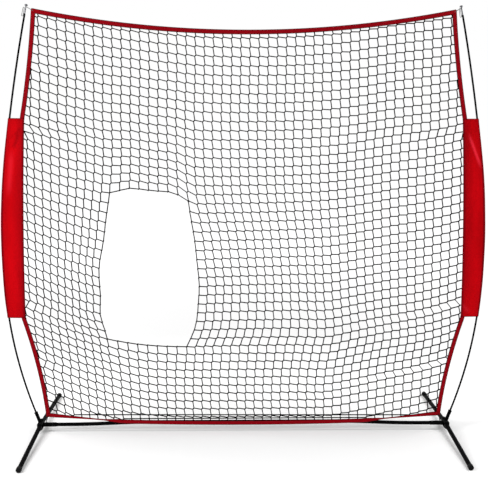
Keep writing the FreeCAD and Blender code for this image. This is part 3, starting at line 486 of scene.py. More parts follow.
def elastic(name, dark, light):
    """Braided elastic cord."""
    material, tree, shader = new_material(name)
    weave = place_group(tree, "Weave", {"Threads": 1200.0})
    fill(tree, shader, {
        "Base Color": ramp(tree, weave["Fleck"], 0.3, 0.7, dark, light),
        "Normal": relief(tree, weave["Height"], 0.6, 0.0004),
        "Roughness": 0.85, "Specular IOR Level": 0.1})
    return material


def stitched(tree, weave, across, place):
    """Mask of a row of stitches in a weave, and the height of the weave with them on it."""
    mask = place_group(tree, "Stitches", {"Across": across, "Place": place, "Pitch": STITCH_PITCH})["Mask"]
    return mask, math_node(tree, "ADD", weave["Height"], math_node(tree, "MULTIPLY", mask, STITCH_HEIGHT))


def webbing(name, edge, middle, thread):
    """Red binding: woven, with painted shade towards both edges and a painted sheen along its middle, and two
    rows of stitches. V of its map is across it.
    """
    material, tree, shader = new_material(name)
    weave = place_group(tree, "Weave", {"Threads": 900.0})
    reach = math_node(tree, "ABSOLUTE", uv_parts(tree)["Y"])
    # Painted sheen: the tape's middle is painted lighter, in flecks, and its edges darker as if in shade.
    inner = map_range(tree, reach, *TAPE_PAINTED_SHEEN)
    painted_sheen = math_node(tree, "MULTIPLY", inner, math_node(tree, "ADD", weave["Fleck"], 0.4))
    mask, height = stitched(tree, weave, reach, TAPE_STITCHES)
    fill(tree, shader, {
        "Base Color": mix_colour(tree, mask, ramp(tree, painted_sheen, 0.1, 1.0, edge, middle), thread),
        "Normal": relief(tree, height, 0.5, 0.0004),
        "Roughness": 0.8, "Specular IOR Level": 0.04})
    return material


def sleeve_fabric(name, dark, light, binding, thread):
    """Red sleeve cloth. V of its map runs round from the seam, U along it; both ends are hemmed. The binding
    colour is the dark strip under the seam and also paints shade beside the seam, at the outline and at the
    ends; the folds get a painted highlight and painted shade.
    """
    material, tree, shader = new_material(name)
    weave = place_group(tree, "Weave", {"Threads": 1400.0})
    parts = uv_parts(tree)
    stretched = add(tree, "Mapping", {"Vector": object_place(tree), "Scale": (1.0, 1.0, 0.25)})
    tone = ramp(tree, cloudy(tree, stretched.outputs["Vector"], 9.0, 3.0), 0.35, 0.65, dark, light)
    # Painted highlight where a fold stands out and painted shade where it sinks in.
    fold = add(tree, "Attribute", attribute_name="fold").outputs["Fac"]
    tone = mix_colour(tree, map_range(tree, fold, 0.0, 1.0, 0.0, 0.75), tone, PAINTED_FOLD_HIGHLIGHT)
    tone = mix_colour(tree, map_range(tree, fold, -1.0, 0.0, 0.6, 0.0), tone, PAINTED_FOLD_SHADE)
    half_round = SLEEVE_GIRTH * MM / 2
    half_long = SLEEVE_HEIGHT * MM / 2
    from_seam = math_node(tree, "SUBTRACT", half_round, distance_to(tree, parts["Y"], half_round))
    from_end = math_node(tree, "SUBTRACT", half_long, distance_to(tree, parts["X"], half_long))
    outline = distance_to(tree, parts["Y"], SLEEVE_OUTLINE)
    distances = {"seam": from_seam, "outline": outline, "end": from_end}
    # Painted shade in the binding's dark red, and the binding's own strip at the seam.
    for line, start, end, most in SLEEVE_BINDING_AND_PAINTED_SHADE:
        tone = mix_colour(tree, map_range(tree, distances[line], start, end, 0.0, most), tone, binding)
    mask, height = stitched(tree, weave, from_seam, SLEEVE_STITCHES)
    tone = mix_colour(tree, mask, tone, thread)
    hem_line = map_range(tree, distance_to(tree, from_end, HEM_LINE), 0.0, HEM_LINE_HALF, 0.6, 0.0)
    fill(tree, shader, {
        "Base Color": mix_colour(tree, hem_line, tone, binding),
        "Normal": relief(tree, height, 0.3, 0.0004),
        "Roughness": 0.7, "Specular IOR Level": 0.03})
    return material


def ribbed_rubber(name, dark, light):
    """Rubber of the leg caps, with shallow rings round the leg, which runs along Y."""
    material = grained(name, dark, light, (0.6, 0.8), bump=0.2, specular=0.1)
    tree = material.node_tree
    turns = math_node(tree, "MULTIPLY", parts_of(tree, object_place(tree))["Y"], 2 * math.pi / RIB_PITCH)
    rings = add(tree, "Bump", {
        "Strength": 0.6, "Distance": 0.0006, "Height": math_node(tree, "SINE", turns),
        "Normal": tree.nodes["Bump"].outputs["Normal"]})
    fill(tree, tree.nodes["Principled BSDF"], {"Normal": rings.outputs["Normal"]})
    return material


STEEL_BLACK = grained("black_powder_coat", srgb(4, 4, 5), srgb(8, 8, 9), (0.36, 0.48), specular=0.01)
POLE_BLACK = grained("black_fibreglass", srgb(4, 4, 5), srgb(8, 8, 9), (0.4, 0.5), specular=0.01)
TIP_SILVER = grained("bright_tip", srgb(72, 72, 76), srgb(98, 98, 101), (0.25, 0.4), metallic=1.0)
ZINC = grained("zinc_plate", srgb(130, 132, 136), srgb(166, 168, 172), (0.25, 0.45), metallic=1.0)
FASTENER_BLACK = grained("black_fastener", srgb(10, 10, 11), srgb(18, 18, 20), (0.3, 0.5), specular=0.05)
SPRING_STEEL = grained("spring_steel", srgb(90, 92, 98), srgb(130, 132, 136), (0.3, 0.5), metallic=1.0)
RUBBER = ribbed_rubber("black_rubber", srgb(8, 8, 8), srgb(16, 16, 16))
TWINE_BLACK = grained(
    "black_twine", srgb(3, 3, 4), srgb(10, 10, 11), (0.7, 0.9), scale=900.0, bump=0.4, specular=0.02)
# The binding's edge colour is painted shade and its middle colour a painted sheen.
TAPE_RED = webbing("red_binding", srgb(72, 0, 5), srgb(156, 4, 18), srgb(180, 50, 60))
# The sleeve's third colour is the binding's dark red, used for its strip and for painted shade.
SLEEVE_RED = sleeve_fabric(
    "red_sleeve_cloth", srgb(186, 0, 8), srgb(216, 2, 14), srgb(104, 0, 10), srgb(150, 10, 24))
ELASTIC_GREY = elastic("grey_elastic", srgb(70, 70, 72), srgb(118, 118, 118))
ELASTIC_BLACK = elastic("black_elastic", srgb(10, 10, 11), srgb(24, 24, 26))

# The kinds of node that have each finish: their names without the side or the end.
FINISHED_KINDS = (
    (STEEL_BLACK, ("hub_bracket", "crossbar_arm", "crossbar", "crossbar_coupler", "pole_socket", "leg")),
    (FASTENER_BLACK, ("leg_knuckle", "snap_button", "leg_pivot_bolts", "leg_pivot_nuts", "coupler_rivet")),
    (POLE_BLACK, ("pole_lower_section", "pole_middle_section", "pole_upper_section")),
    (SPRING_STEEL, ("snap_spring",)), (ZINC, ("pole_ferrules",)), (TIP_SILVER, ("pole_tip",)),
    (RUBBER, ("leg_cap",)))


def finish_cad_nodes():
    """Put each finish in the material slots of the nodes that have it."""
    dressed = 0
    for name, node in nodes.items():
        kind = name
        for side in ("left_", "right_", "centre_", "front_", "rear_"):
            kind = kind.removeprefix(side)
        for finish, kinds in FINISHED_KINDS:
            if kind in kinds:
                for slot in node.material_slots:
                    slot.material = finish
                dressed += 1
    print("CAD nodes with a finish:", dressed)


finish_cad_nodes()

# %% [markdown]
# The mesh is knotted twine in squares of about 45 mm: 50 threads run down and 46 across. It is
# stretched at its edge and pulled aside by the open target, whose edge isn't bound, so the
# threads beside it bow outwards and the rows over it hang a little. Each place is worked out
# from an even net and a few smooth pulls.

# %% Places of the knots
THREADS = 50
ROWS = 46
THREAD_PITCH = 44.87
MIDDLE_THREAD = 25.57
OPENING_THREADS = (11, 19)
OPENING_ROWS = (19, 35)
KNOT_SLANT = 3.2
EDGE_SLANT = 0.5

# How the opening's two sides are pulled along X: the pull, the height of its middle, its reach.
LEFT_SIDE = ((-85, 850, 350), (12, 1000, 110), (-27, 603, 84))
RIGHT_SIDE = ((75, 840, 290), (-16, 900, 130), (13, 590, 85), (-14, 465, 40))

# How much each side is drawn to the left below the opening, and the heights where that is full
# and where it starts. The left side also has a small pull at every height. All of it fades
# towards the net's edges with this power.
LEFT_FOOT_PULL = (22, 400, 600)
RIGHT_FOOT_PULL = (16, 330, 520)
LEFT_PULL = 4
PULL_POWER = 1.25

# Slow pushes to the right: a belly at a thread and a height, each with its reach, a widening
# towards the edges round a height, and a shift of the top between two heights.
BELLY = (25, 35, 8, 520, 170)
WIDENING = (16, 470, 300, 1100)
TOP_SHIFT = (8, 1600, 1950)

# Pushes on the right part only: how much, the height and its reach. They grow between the first
# two threads and fade between the last two.
RIGHT_PUSHES = ((9, 1640, 170), (10, 490, 70))
RIGHT_PART = (27, 39, 46, 51)

# Stretches of rows in the middle of the net: their first row, its height and the pitch.
ROW_STRETCHES = ((1, 2025, 45.2), (19, 1211.4, 46.7), (34, 511, 43))

# How far a row rises this far from the middle, how much more the last row does, and how much
# steeper the last row is there than the first, on the left and on the right.
ROW_RISE = 104
ROW_RISE_MORE = 36
ROW_RISE_REACH = 1036
ROW_STEEPER = (0.3, 0.8)

# The rows over the opening are drawn up: by how much, over how many rows, and the places along
# X where that starts, is full, starts to fade and ends.
DRAWN_UP = 60
DRAWN_UP_ROWS = 6
DRAWN_UP_PLACES = (-720, -550, -380, -235)

# Where the rows hang lower or higher than in an even net: how much, the place along X and its
# reach, the row and its reach.
SLACK = (
    (-30, -490, 330, 26.7, 12), (10, -740, 130, 18, 4), (-17, -830, 220, 31.5, 5),
    (-13, -560, 260, 41, 6), (11, 740, 170, 23, 60), (-14, 421, 110, 34, 10),
    (-14, -380, 420, 46, 1.6), (-16, 480, 260, 45.5, 1.8))

# Creases beside the sleeves' ends and near the hubs, where the pull on the mesh changes: the
# side, the height at the edge, how much lower the crease is for each mm inwards, how far the
# threads jump inwards as they go down through it, and how far from the edge that is felt.
CREASES = (
    (-1, 1883, 0.0, 13, 140), (-1, 1568, 0.0, 21, 260), (-1, 689, 0.3, -32, 120), (-1, 378, 0.3, -32, 120),
    (1, 1885, 0.0, 9, 140), (1, 1560, 0.0, 24, 300), (1, 684, 0.2, -31, 210), (1, 381, 0.29, -37, 330))
CREASE_SHARPNESS = 15.0
CREASE_FADE = 160.0
CREASE_LIFT_REACH = 30.0

# The left sleeve pushes the threads beside its seam inwards, between these heights.
SEAM_PUSH = 16.0
SEAM_REACH = 38.0
SEAM_PUSH_FOOT = (700, 1400)
SEAM_PUSH_TOP = (1545, 1585)

# The net's slow waves in depth: the share of each, its length along X, its place in the noise
# and its length along Z. They start at the binding and are full this far from it.
WAVES = ((1.0, 420, 0.3, 520), (0.4, 160, 5.1, 190))
WAVE_DEPTH = 9
WAVE_START = 350


def hump(value, middle, width):
    return math.exp(-((value - middle) / width) ** 2)


def smooth_step(value, low, high):
    share = min(1.0, max(0.0, (value - low) / (high - low)))
    return share * share * (3 - 2 * share)


def smooth_fall(value, low, high):
    return 1 - smooth_step(value, low, high)


def crease_pull(x, z):
    """How far the creases beside the edge move a thread inwards here, and its row upwards."""
    inwards = 0.0
    upwards = 0.0
    inset = max(0.0, side_x(z) - abs(x))
    for side, height, fall, jump, reach in CREASES:
        if side * x <= 0:
            continue
        below = height - fall * inset - z
        felt = math.exp(-inset / reach) * math.exp(-abs(below) / CREASE_FADE)
        inwards += jump / 2 * math.tanh(below / CREASE_SHARPNESS) * felt
        squeeze = THREAD_PITCH - math.sqrt(THREAD_PITCH ** 2 - jump ** 2)
        upwards += squeeze * felt * smooth_step(below, -CREASE_LIFT_REACH, CREASE_LIFT_REACH)
    if x < 0:
        beside_seam = smooth_step(z, *SEAM_PUSH_FOOT) * smooth_fall(z, *SEAM_PUSH_TOP)
        inwards += SEAM_PUSH * math.exp(-inset / SEAM_REACH) * beside_seam
    return inwards, upwards


def side_pull(pulls, foot_pull, z):
    pull, low, high = foot_pull
    return sum(p * hump(z, height, reach) for p, height, reach in pulls) - pull * smooth_fall(z, low, high)


def opening_pull(thread, z):
    """How far the opening's pull moves a thread along X: fully at its sides, less towards the edges."""
    left = side_pull(LEFT_SIDE, LEFT_FOOT_PULL, z) - LEFT_PULL
    right = side_pull(RIGHT_SIDE, RIGHT_FOOT_PULL, z)
    first, last = OPENING_THREADS
    if thread < first:
        return left * max(0.0, (thread - 1) / (first - 1)) ** PULL_POWER
    if thread > last:
        return right * max(0.0, (THREADS - thread) / (THREADS - last)) ** PULL_POWER
    return left + (right - left) * (thread - first) / (last - first)


def thread_x(thread, z):
    """X of a thread that runs down, at this height."""
    x = THREAD_PITCH * (thread - MIDDLE_THREAD)
    push, middle, threads, height, reach = BELLY
    belly = push * hump(thread, middle, threads) * hump(z, height, reach)
    push, height, reach, edge = WIDENING
    widening = push * hump(z, height, reach) * (x / edge) ** 3
    push, low, high = TOP_SHIFT
    shift = push * smooth_step(z, low, high)
    right = smooth_step(thread, *RIGHT_PART[:2]) * smooth_fall(thread, *RIGHT_PART[2:])
    shift += right * sum(push * hump(z, height, reach) for push, height, reach in RIGHT_PUSHES)
    return x + opening_pull(thread, z) + belly + widening + shift


def row_middle(row):
    """Height of a row in the middle of the net."""
    started = [stretch for stretch in ROW_STRETCHES if row >= stretch[0]]
    first, height, pitch = (started or ROW_STRETCHES[:1])[-1]
    return height - pitch * (row - first)


def drawn_up(row, x):
    """How much higher the rows over the opening are, because nothing pulls on them from below."""
    top, foot = OPENING_ROWS
    if row > (top + foot) / 2:
        return 0.0
    over = smooth_step(x, *DRAWN_UP_PLACES[:2]) * smooth_fall(x, *DRAWN_UP_PLACES[2:])
    return DRAWN_UP * math.exp(-abs(row - top) / DRAWN_UP_ROWS) * over


def row_z(row, x):
    """Height of a thread that runs across, at this x."""
    power = 2 + ROW_STEEPER[x > 0] * row / ROWS
    rise = (ROW_RISE + ROW_RISE_MORE * row / ROWS) * abs(x / ROW_RISE_REACH) ** power
    slack = sum(
        push * hump(x, place, reach) * hump(row, middle, rows) for push, place, reach, middle, rows in SLACK)
    return row_middle(row) + rise + slack + drawn_up(row, x)


def knot_place(thread, row):
    z = row_z(row, THREAD_PITCH * (thread - MIDDLE_THREAD))
    x = thread_x(thread, z)
    z = row_z(row, x)
    inwards, upwards = crease_pull(x, z)
    return x - inwards * math.copysign(1, x), z + upwards


def net_point(x, z):
    """Point of the net: in its plane at the binding, with slow waves further in."""
    inset = min(side_x(z) - abs(x), top_z(x) - z, z - bottom_z(x))
    wave = sum(share * noise.noise(Vector((x / long, place, z / high))) for share, long, place, high in WAVES)
    return Vector((x, NET_Y + WAVE_DEPTH * smooth_step(inset, 0, WAVE_START) * wave, z))


def in_hole(thread, row):
    first, last = OPENING_THREADS
    top, foot = OPENING_ROWS
    return first < thread < last and top < row < foot


def on_opening(thread, row):
    """True at the knots of the opening's own edge, which the pull has drawn into a smooth line."""
    first, last = OPENING_THREADS
    top, foot = OPENING_ROWS
    beside = thread in OPENING_THREADS and top <= row <= foot
    return beside or (row in OPENING_ROWS and first <= thread <= last)


# %% Threads of the mesh
TWINE_DIAMETER = 6.4
LAST_STRETCH = 1.5
EDGE_HALVINGS = 24


def knot_ends(thread, row):
    """The two ends of a knot: threads come in at one and leave at the other."""
    x, z = knot_place(thread, row)
    slant = EDGE_SLANT if on_opening(thread, row) else KNOT_SLANT
    return net_point(x - slant, z - slant), net_point(x + slant, z + slant)


def edge_point(place, inner, outer):
    """Point where a thread reaches the edge, between a count inside and one outside."""
    for _ in range(EDGE_HALVINGS):
        middle = (inner + outer) / 2
        if inside_net(*place(middle)):
            inner = middle
        else:
            outer = middle
    return net_point(*place(inner))


def thread_lines(counts, place, ends, broken):
    """Points along one thread, in one line or in two beside the opening."""
    inside = [count for count in counts if inside_net(*place(count))]
    lines = []
    for run in [list(run) for gone, run in groupby(inside, broken) if not gone]:
        line = [point for count in run for point in ends(count)]
        if run[0] == inside[0]:
            line.insert(0, edge_point(place, run[0], run[0] - LAST_STRETCH))
        if run[-1] == inside[-1]:
            line.append(edge_point(place, run[-1], run[-1] + LAST_STRETCH))
        lines.append(line)
    return lines


def down_lines(thread):
    return thread_lines(
        range(0, ROWS + 3), lambda row: knot_place(thread, row),
        lambda row: reversed(knot_ends(thread, row)), lambda row: in_hole(thread, row))


def across_lines(row):
    return thread_lines(
        range(1, THREADS + 1), lambda thread: knot_place(thread, row),
        lambda thread: knot_ends(thread, row), lambda thread: in_hole(thread, row))


down = [line for thread in range(1, THREADS + 1) for line in down_lines(thread)]
across = [line for row in range(1, ROWS + 2) for line in across_lines(row)]
for name, lines in (("down_threads", down), ("across_threads", across)):
    finish_piece(cord(name, lines, TWINE_DIAMETER), TWINE_BLACK, "mesh_black", "net_mesh")


# %% Knots
KNOT_RADII = (3.8, 3.6, 6.4)
KNOT_TILT = math.radians(45)


def knot_places():
    counts = [(thread, row) for thread in range(1, THREADS + 1) for row in range(1, ROWS + 2)]
    places = [knot_place(*count) for count in counts if not in_hole(*count)]
    return [net_point(*place) for place in places if inside_net(*place)]


def place_copies(name, shape, places):
    """One mesh with a copy of shape at every place, made with geometry nodes and applied."""
    mesh = bpy.data.meshes.new(name)
    mesh.from_pydata([place * MM for place in places], [], [])
    piece = new_object(name, mesh)
    tree = bpy.data.node_groups.new(name + "_copies", "GeometryNodeTree")
    for way in ("INPUT", "OUTPUT"):
        tree.interface.new_socket("Geometry", in_out=way, socket_type="NodeSocketGeometry")
    kinds = ("NodeGroupInput", "GeometryNodeMeshToPoints", "GeometryNodeInstanceOnPoints",
             "GeometryNodeRealizeInstances", "NodeGroupOutput")
    chain = [tree.nodes.new(kind) for kind in kinds]
    for earlier, later in zip(chain, chain[1:]):
        tree.links.new(earlier.outputs[0], later.inputs[0])
    source = tree.nodes.new("GeometryNodeObjectInfo")
    source.inputs["Object"].default_value = shape
    tree.links.new(source.outputs["Geometry"], chain[2].inputs["Instance"])
    piece.modifiers.new("copies", "NODES").node_group = tree
    apply_modifiers(piece)
    bpy.data.objects.remove(shape)
    return piece


def knot_shape():
    """Small rounded lump that leans up to the right, with few faces."""
    clear_selection()
    bpy.ops.mesh.primitive_uv_sphere_add(segments=6, ring_count=4, radius=1.0)
    lump = bpy.context.object
    bpy.ops.object.mode_set(mode="EDIT")
    bpy.ops.transform.resize(value=KNOT_RADII)
    bpy.ops.transform.resize(value=(MM, MM, MM))
    bpy.ops.object.mode_set(mode="OBJECT")
    lump.data.transform(Matrix.Rotation(KNOT_TILT, 4, "Y"))
    bpy.ops.object.shade_smooth()
    return lump


knots = place_copies("mesh_knots", knot_shape(), knot_places())
finish_piece(knots, TWINE_BLACK, "mesh_black", "net_mesh")

# %% [markdown]
# The binding is red webbing folded over the edge of the mesh and sewn. Its section is thicker
# at the fold and dips where the stitches pull it in, and it is carried along the net's edge.

# %% Binding tape
# The front of the tape's section from its outer edge to its inner one: the place across it and how
# far out.
TAPE_FRONT_SECTION = [(-11.5, 0.0), (-11.0, 0.95), (-9.4, 1.3), (-6.5, 1.25), (-2.0, 1.1), (2.5, 1.1),
                      (6.4, 1.15), (7.5, 0.75), (8.6, 1.1), (10.9, 0.9), (11.5, 0.0)]
WRAP = 1.15
ROLL_THICKNESS = 2.3

# The tapes cross at the corners, and the side tapes' other ends run into the sleeves.
CORNER_OVERLAP = 9.0
TUCK = 7.0

# How far apart the tapes' points are along them, the share of its way over which a tape's slope is
# taken, and the flat lengths. The side tapes also have their two ends as on the right, from the top.
TAPE_STEP = 12
SLOPE_STEP = 0.0005
TOP_LENGTH = 2085
BOTTOM_LENGTH = 2090
SIDE_TAPES = (
    ("upper", (TOP_CORNER[1] + CORNER_OVERLAP, SLEEVE_TOP[1] - TUCK), 530),
    ("lower", (SLEEVE_FOOT[1] + TUCK, BOTTOM_CORNER[1] - CORNER_OVERLAP), 535))


def tape_along(name, line, length, thickness=1.0, bunched=False):
    """Tape whose middle follows line(share) in the net's plane, its outer edge on the left."""
    section = TAPE_FRONT_SECTION + [(across, -out) for across, out in TAPE_FRONT_SECTION[-2:0:-1]]
    count = len(section)

    def place(along, turn):
        across, out = section[round(turn * count) % count]
        before = Vector(line(max(0.0, along - SLOPE_STEP)))
        after = Vector(line(min(1.0, along + SLOPE_STEP)))
        way = (after - before).normalized()
        outward = Vector((-way.y, 0, way.x))
        x, z = line(along)
        rolled = bunch(x) if bunched else 0.0
        across *= 1 + (2 * ROLL_HALF_WIDTH / TAPE_WIDTH - 1) * rolled
        out *= thickness + (ROLL_THICKNESS - thickness) * rolled
        return Vector((x, NET_Y - out, z)) - outward * across

    def spread(along, turn):
        return along * length, section[round(turn * count) % count][0]

    return skin(name, length // TAPE_STEP, count, place, spread)


def top_edge(share):
    x = (2 * share - 1) * (TOP_CORNER[0] + CORNER_OVERLAP)
    return x, top_z(x)


def side_edge(side, start, end):
    def line(share):
        z = start + (end - start) * share
        return side * side_x(z), z
    return line


def bottom_edge(share):
    x = (1 - 2 * share) * (BOTTOM_CORNER[0] + CORNER_OVERLAP)
    return x, bottom_z(x)


def finish_tape(piece, replaced):
    finish_piece(piece, TAPE_RED, "tape_red", replaced)


finish_tape(tape_along("top_binding", top_edge, TOP_LENGTH, WRAP), "top_tape")
finish_tape(tape_along("bottom_binding", bottom_edge, BOTTOM_LENGTH, WRAP, bunched=True), "bottom_tape")
# On the left the ends are turned round, so that the outer edge is still on the tape's left.
for side, name in ((-1, "left"), (1, "right")):
    for part, ends, length in SIDE_TAPES:
        piece = tape_along("%s_%s_binding" % (name, part), side_edge(side, *ends[::side]), length)
        finish_tape(piece, "%s_%s_side_tape" % (name, part))

# %% [markdown]
# Each sleeve is one piece of red cloth, folded round the pole and sewn to the mesh. Its section
# is a drop: round at the pole, with two nearly flat sides that close at the seam.

# %% Sleeves
SLEEVE_POLE_RADIUS = 8.0
SLEEVE_SEAM_RADIUS = 1.6
SLEEVE_STATIONS = 160
SLEEVE_AROUND = 40
SLEEVE_END_GAP = 0.3
CLOTH_WAVE = 1.2
CLOTH_WAVE_SIZE = (40, 30, 150)
CLOTH_THICKNESS = 0.8


def drop_point(seam, pole, turn):
    """Point of the drop round the pole and the seam, and the way out of it there."""
    along = pole - seam
    length = along.length
    along.normalize()
    across = Vector((-along.y, along.x, 0))
    widening = SLEEVE_POLE_RADIUS - SLEEVE_SEAM_RADIUS
    contact = math.pi / 2 + math.asin(widening / length)
    flat = math.sqrt(length ** 2 - widening ** 2)
    arcs = [2 * (math.pi - contact) * SLEEVE_SEAM_RADIUS, flat, 2 * contact * SLEEVE_POLE_RADIUS, flat]
    distance = turn * sum(arcs)

    def out(angle):
        return along * math.cos(angle) + across * math.sin(angle)

    if distance <= arcs[0]:
        angle = -contact - distance / arcs[0] * 2 * (math.pi - contact)
        return seam + out(angle) * SLEEVE_SEAM_RADIUS, out(angle)
    distance -= arcs[0]
    if distance <= arcs[1]:
        start = seam + out(contact) * SLEEVE_SEAM_RADIUS
        end = pole + out(contact) * SLEEVE_POLE_RADIUS
        return start + (end - start) * (distance / arcs[1]), out(contact)
    distance -= arcs[1]
    if distance <= arcs[2]:
        angle = contact - distance / arcs[2] * 2 * contact
        return pole + out(angle) * SLEEVE_POLE_RADIUS, out(angle)
    distance -= arcs[2]
    start = pole + out(-contact) * SLEEVE_POLE_RADIUS
    end = seam + out(-contact) * SLEEVE_SEAM_RADIUS
    return start + (end - start) * min(1.0, distance / arcs[3]), out(-contact)


# Folds of the cloth on the front: the side, both ends, how far it stands out and half its width. Their
# heights also paint a highlight into the cloth's colour where it stands out and shade where it sinks in. The
# first on the right is the sharp one, with the strongest painted highlight.
SLEEVE_FOLDS = (
    (1, (1124, 1556), (1196, 1386), 2.2, 6.0),
    (1, (1205, 1390), (1222, 1240), 1.0, 6.0),
    (1, (1110, 700), (1165, 640), 0.8, 9.0),
    (-1, (1118, 1566), (1151, 1480), -1.6, 9.0),
    (-1, (1100, 1590), (1165, 1530), -1.0, 8.0),
    (-1, (1160, 1470), (1185, 1250), 0.7, 12.0),
    (-1, (1150, 900), (1120, 660), -0.9, 12.0))
FOLD_STARTS = (-0.1, 0.25)
FOLD_ENDS = (0.75, 1.1)

# The cloth is double over a strip beside the seam and over the hem at each end, and steps down
# between these distances. Waves and folds grow between these distances from the inner edge.
DOUBLE_STEP = 0.5
STRIP_ENDS = (11.0, 12.5)
HEM_ENDS = (12.0, 14.0)
WAVE_GROWS = (3, 25)
FOLD_GROWS = (8, 20)
FRONT_FACING = -0.5


def fold_at(side, x, z):
    """How far the folds push the cloth out at this place on its front."""
    total = 0.0
    for fold_side, start, end, height, width in SLEEVE_FOLDS:
        if fold_side != side:
            continue
        start = Vector(start)
        way = Vector(end) - start
        share = (Vector((x, z)) - start).dot(way) / way.length_squared
        away = (Vector((x, z)) - start - way * min(1.0, max(0.0, share))).length
        ends = smooth_step(share, *FOLD_STARTS) * smooth_fall(share, *FOLD_ENDS)
        total += height * hump(away, 0, width) * ends
    return total


def sleeve_cloth(side, name):
    top = SLEEVE_TOP[1] - SLEEVE_END_GAP
    foot = SLEEVE_FOOT[1] + SLEEVE_END_GAP
    wide, deep, high = CLOTH_WAVE_SIZE

    def place(along, turn):
        height = top + (foot - top) * along
        inner = side_x(height) - TAPE_WIDTH / 2
        seam = Vector((inner + SLEEVE_SEAM_RADIUS, NET_Y, height))
        pole = Vector((pole_x(height), 0, height))
        point, out = drop_point(seam, pole, turn % 1.0)
        reach = abs(point.x - inner)
        wave = noise.noise(Vector((point.x / wide * side, point.y / deep, height / high + side)))
        push = CLOTH_WAVE * wave * smooth_step(reach, *WAVE_GROWS)
        if out.y < FRONT_FACING:
            push += fold_at(side, point.x, height) * smooth_step(reach, *FOLD_GROWS)
        push += DOUBLE_STEP * smooth_fall(reach, *STRIP_ENDS)
        push += DOUBLE_STEP * smooth_fall(min(top - height, height - foot), *HEM_ENDS)
        point += out * push
        return Vector((point.x * side, point.y, point.z))

    def spread(along, turn):
        return along * (top - foot), turn * SLEEVE_GIRTH

    piece = skin(name + "_sleeve_cloth", SLEEVE_STATIONS, SLEEVE_AROUND, place, spread, closed_ends=False)
    # Half each fold's height on the front, which the cloth's colour turns into painted highlight and painted
    # shade.
    painted_fold_light = piece.data.attributes.new("fold", "FLOAT", "POINT")
    for vertex, tone in zip(piece.data.vertices, painted_fold_light.data):
        x, y, z = vertex.co / MM
        tone.value = fold_at(side, abs(x), z) / 2 if y < NET_Y / 2 else 0.0
    wall = piece.modifiers.new("wall", "SOLIDIFY")
    wall.thickness = CLOTH_THICKNESS * MM
    wall.offset = -1.0
    apply_modifiers(piece)
    finish_piece(piece, SLEEVE_RED, "sleeve_red", name + "_sleeve")


for side, name in ((-1, "left"), (1, "right")):
    sleeve_cloth(side, name)


# %% [markdown]
# Elastic cord ties the corners: a loop through each top corner goes round the tip's neck and
# leaves a free end beside the pole, and a loop at each bottom corner goes round the arm.

# %% Elastic loops
CORD_GAP = 0.4
NECK_BEND = 7.5
ARM_BEND = 3.8
ARM_LOOP_INSET = 10.0

# The free end beside each pole is a flat loop of cord: how far below the neck it starts, how
# long and wide it is, how much wider at its foot, and how far it is from the pole.
TAIL_DROP = 6.0
TAIL_LENGTH = 36.0
TAIL_WIDTH = 8.0
TAIL_SPREAD = 1.0
TAIL_GAP = 0.8


def ring_line(centre_a, radius_a, centre_b, radius_b, across_hint, points=14):
    """Points of a closed cord round two circles."""
    along = centre_b - centre_a
    length = along.length
    along.normalize()
    across = (across_hint - along * along.dot(across_hint)).normalized()
    contact = math.pi / 2 + math.asin((radius_b - radius_a) / length)
    line = []
    arcs = ((centre_b, radius_b, contact, contact), (centre_a, radius_a, -contact, math.pi - contact))
    for centre, radius, start, half_turn in arcs:
        for k in range(points):
            turn = start - 2 * half_turn * k / (points - 1)
            line.append(centre + (along * math.cos(turn) + across * math.sin(turn)) * radius)
    return line


def sided(line, side):
    """The line as it is on the right, or mirrored for the left."""
    return [Vector((side * p.x, p.y, p.z)) for p in line]


def corner_loop(corner, bend, target, axis, target_radius):
    start = Vector((corner[0], NET_Y, corner[1]))
    towards = (target - start).normalized()
    reach = (target_radius + CORD_DIAMETER / 2 + CORD_GAP) / towards.cross(axis).length
    return ring_line(start + towards * bend, bend, target, reach, Vector((0, 1, 0)))


def tail_line(side):
    point, angle = pole_state(3 * SECTION_LENGTH + NECK_PLACE - TAIL_DROP)
    radius = (TAIL_WIDTH - CORD_DIAMETER) / 2
    beside = (POLE_DIAMETER + CORD_DIAMETER) / 2 + TAIL_GAP
    top = Vector((side * point.x, 0, point.z))
    foot = top - heading(side * angle) * TAIL_LENGTH
    top.x -= beside + radius
    foot.x -= beside + radius + TAIL_SPREAD
    return ring_line(top, radius, foot, radius + TAIL_SPREAD, Vector((1, 0, 0)))


def elastic_cord(name, lines):
    return cord(name, lines, CORD_DIAMETER, sides=8, closed=True)


neck = corner_loop(TOP_CORNER, NECK_BEND, LOOP_POINT, heading(LOOP_LEAN), NECK_DIAMETER / 2)
arm_point = Vector((HUB_X - PLATE_MARGIN - ARM_LOOP_INSET, 0, HUB_HEIGHT))
arm = corner_loop(BOTTOM_CORNER, ARM_BEND, arm_point, Vector((1, 0, 0)), ARM_DIAMETER / 2)
for side, name in ((-1, "left"), (1, "right")):
    piece = elastic_cord(name + "_neck_elastic", [sided(neck, side), tail_line(side)])
    finish_piece(piece, ELASTIC_GREY, "elastic_grey", name + "_top_corner_loop")
    piece = elastic_cord(name + "_arm_elastic", [sided(arm, side)])
    finish_piece(piece, ELASTIC_BLACK, "elastic_black", name + "_bottom_corner_loop")

# %% [markdown]
# The setting is a plain pale floor under soft light. Is Camera Ray lifts the floor and the
# background to white without putting more light on the net, and the floor keeps its shadows.

# %% Floor, background and lights
WHITE = (1, 1, 1, 1)
FLOOR_SIZE = 60.0

# Strength of the background as light, and as it is seen.
SKY_LIGHT = 0.3
SKY_SEEN = 1.0

# Glow of the floor: the distances in metres between which it grows, and how strong it is at each.
FAR_GLOW = (0.9, 5.0, 0.08, 0.75)
GLOW_BEHIND = (0.05, 0.16, 0.0, 0.25)

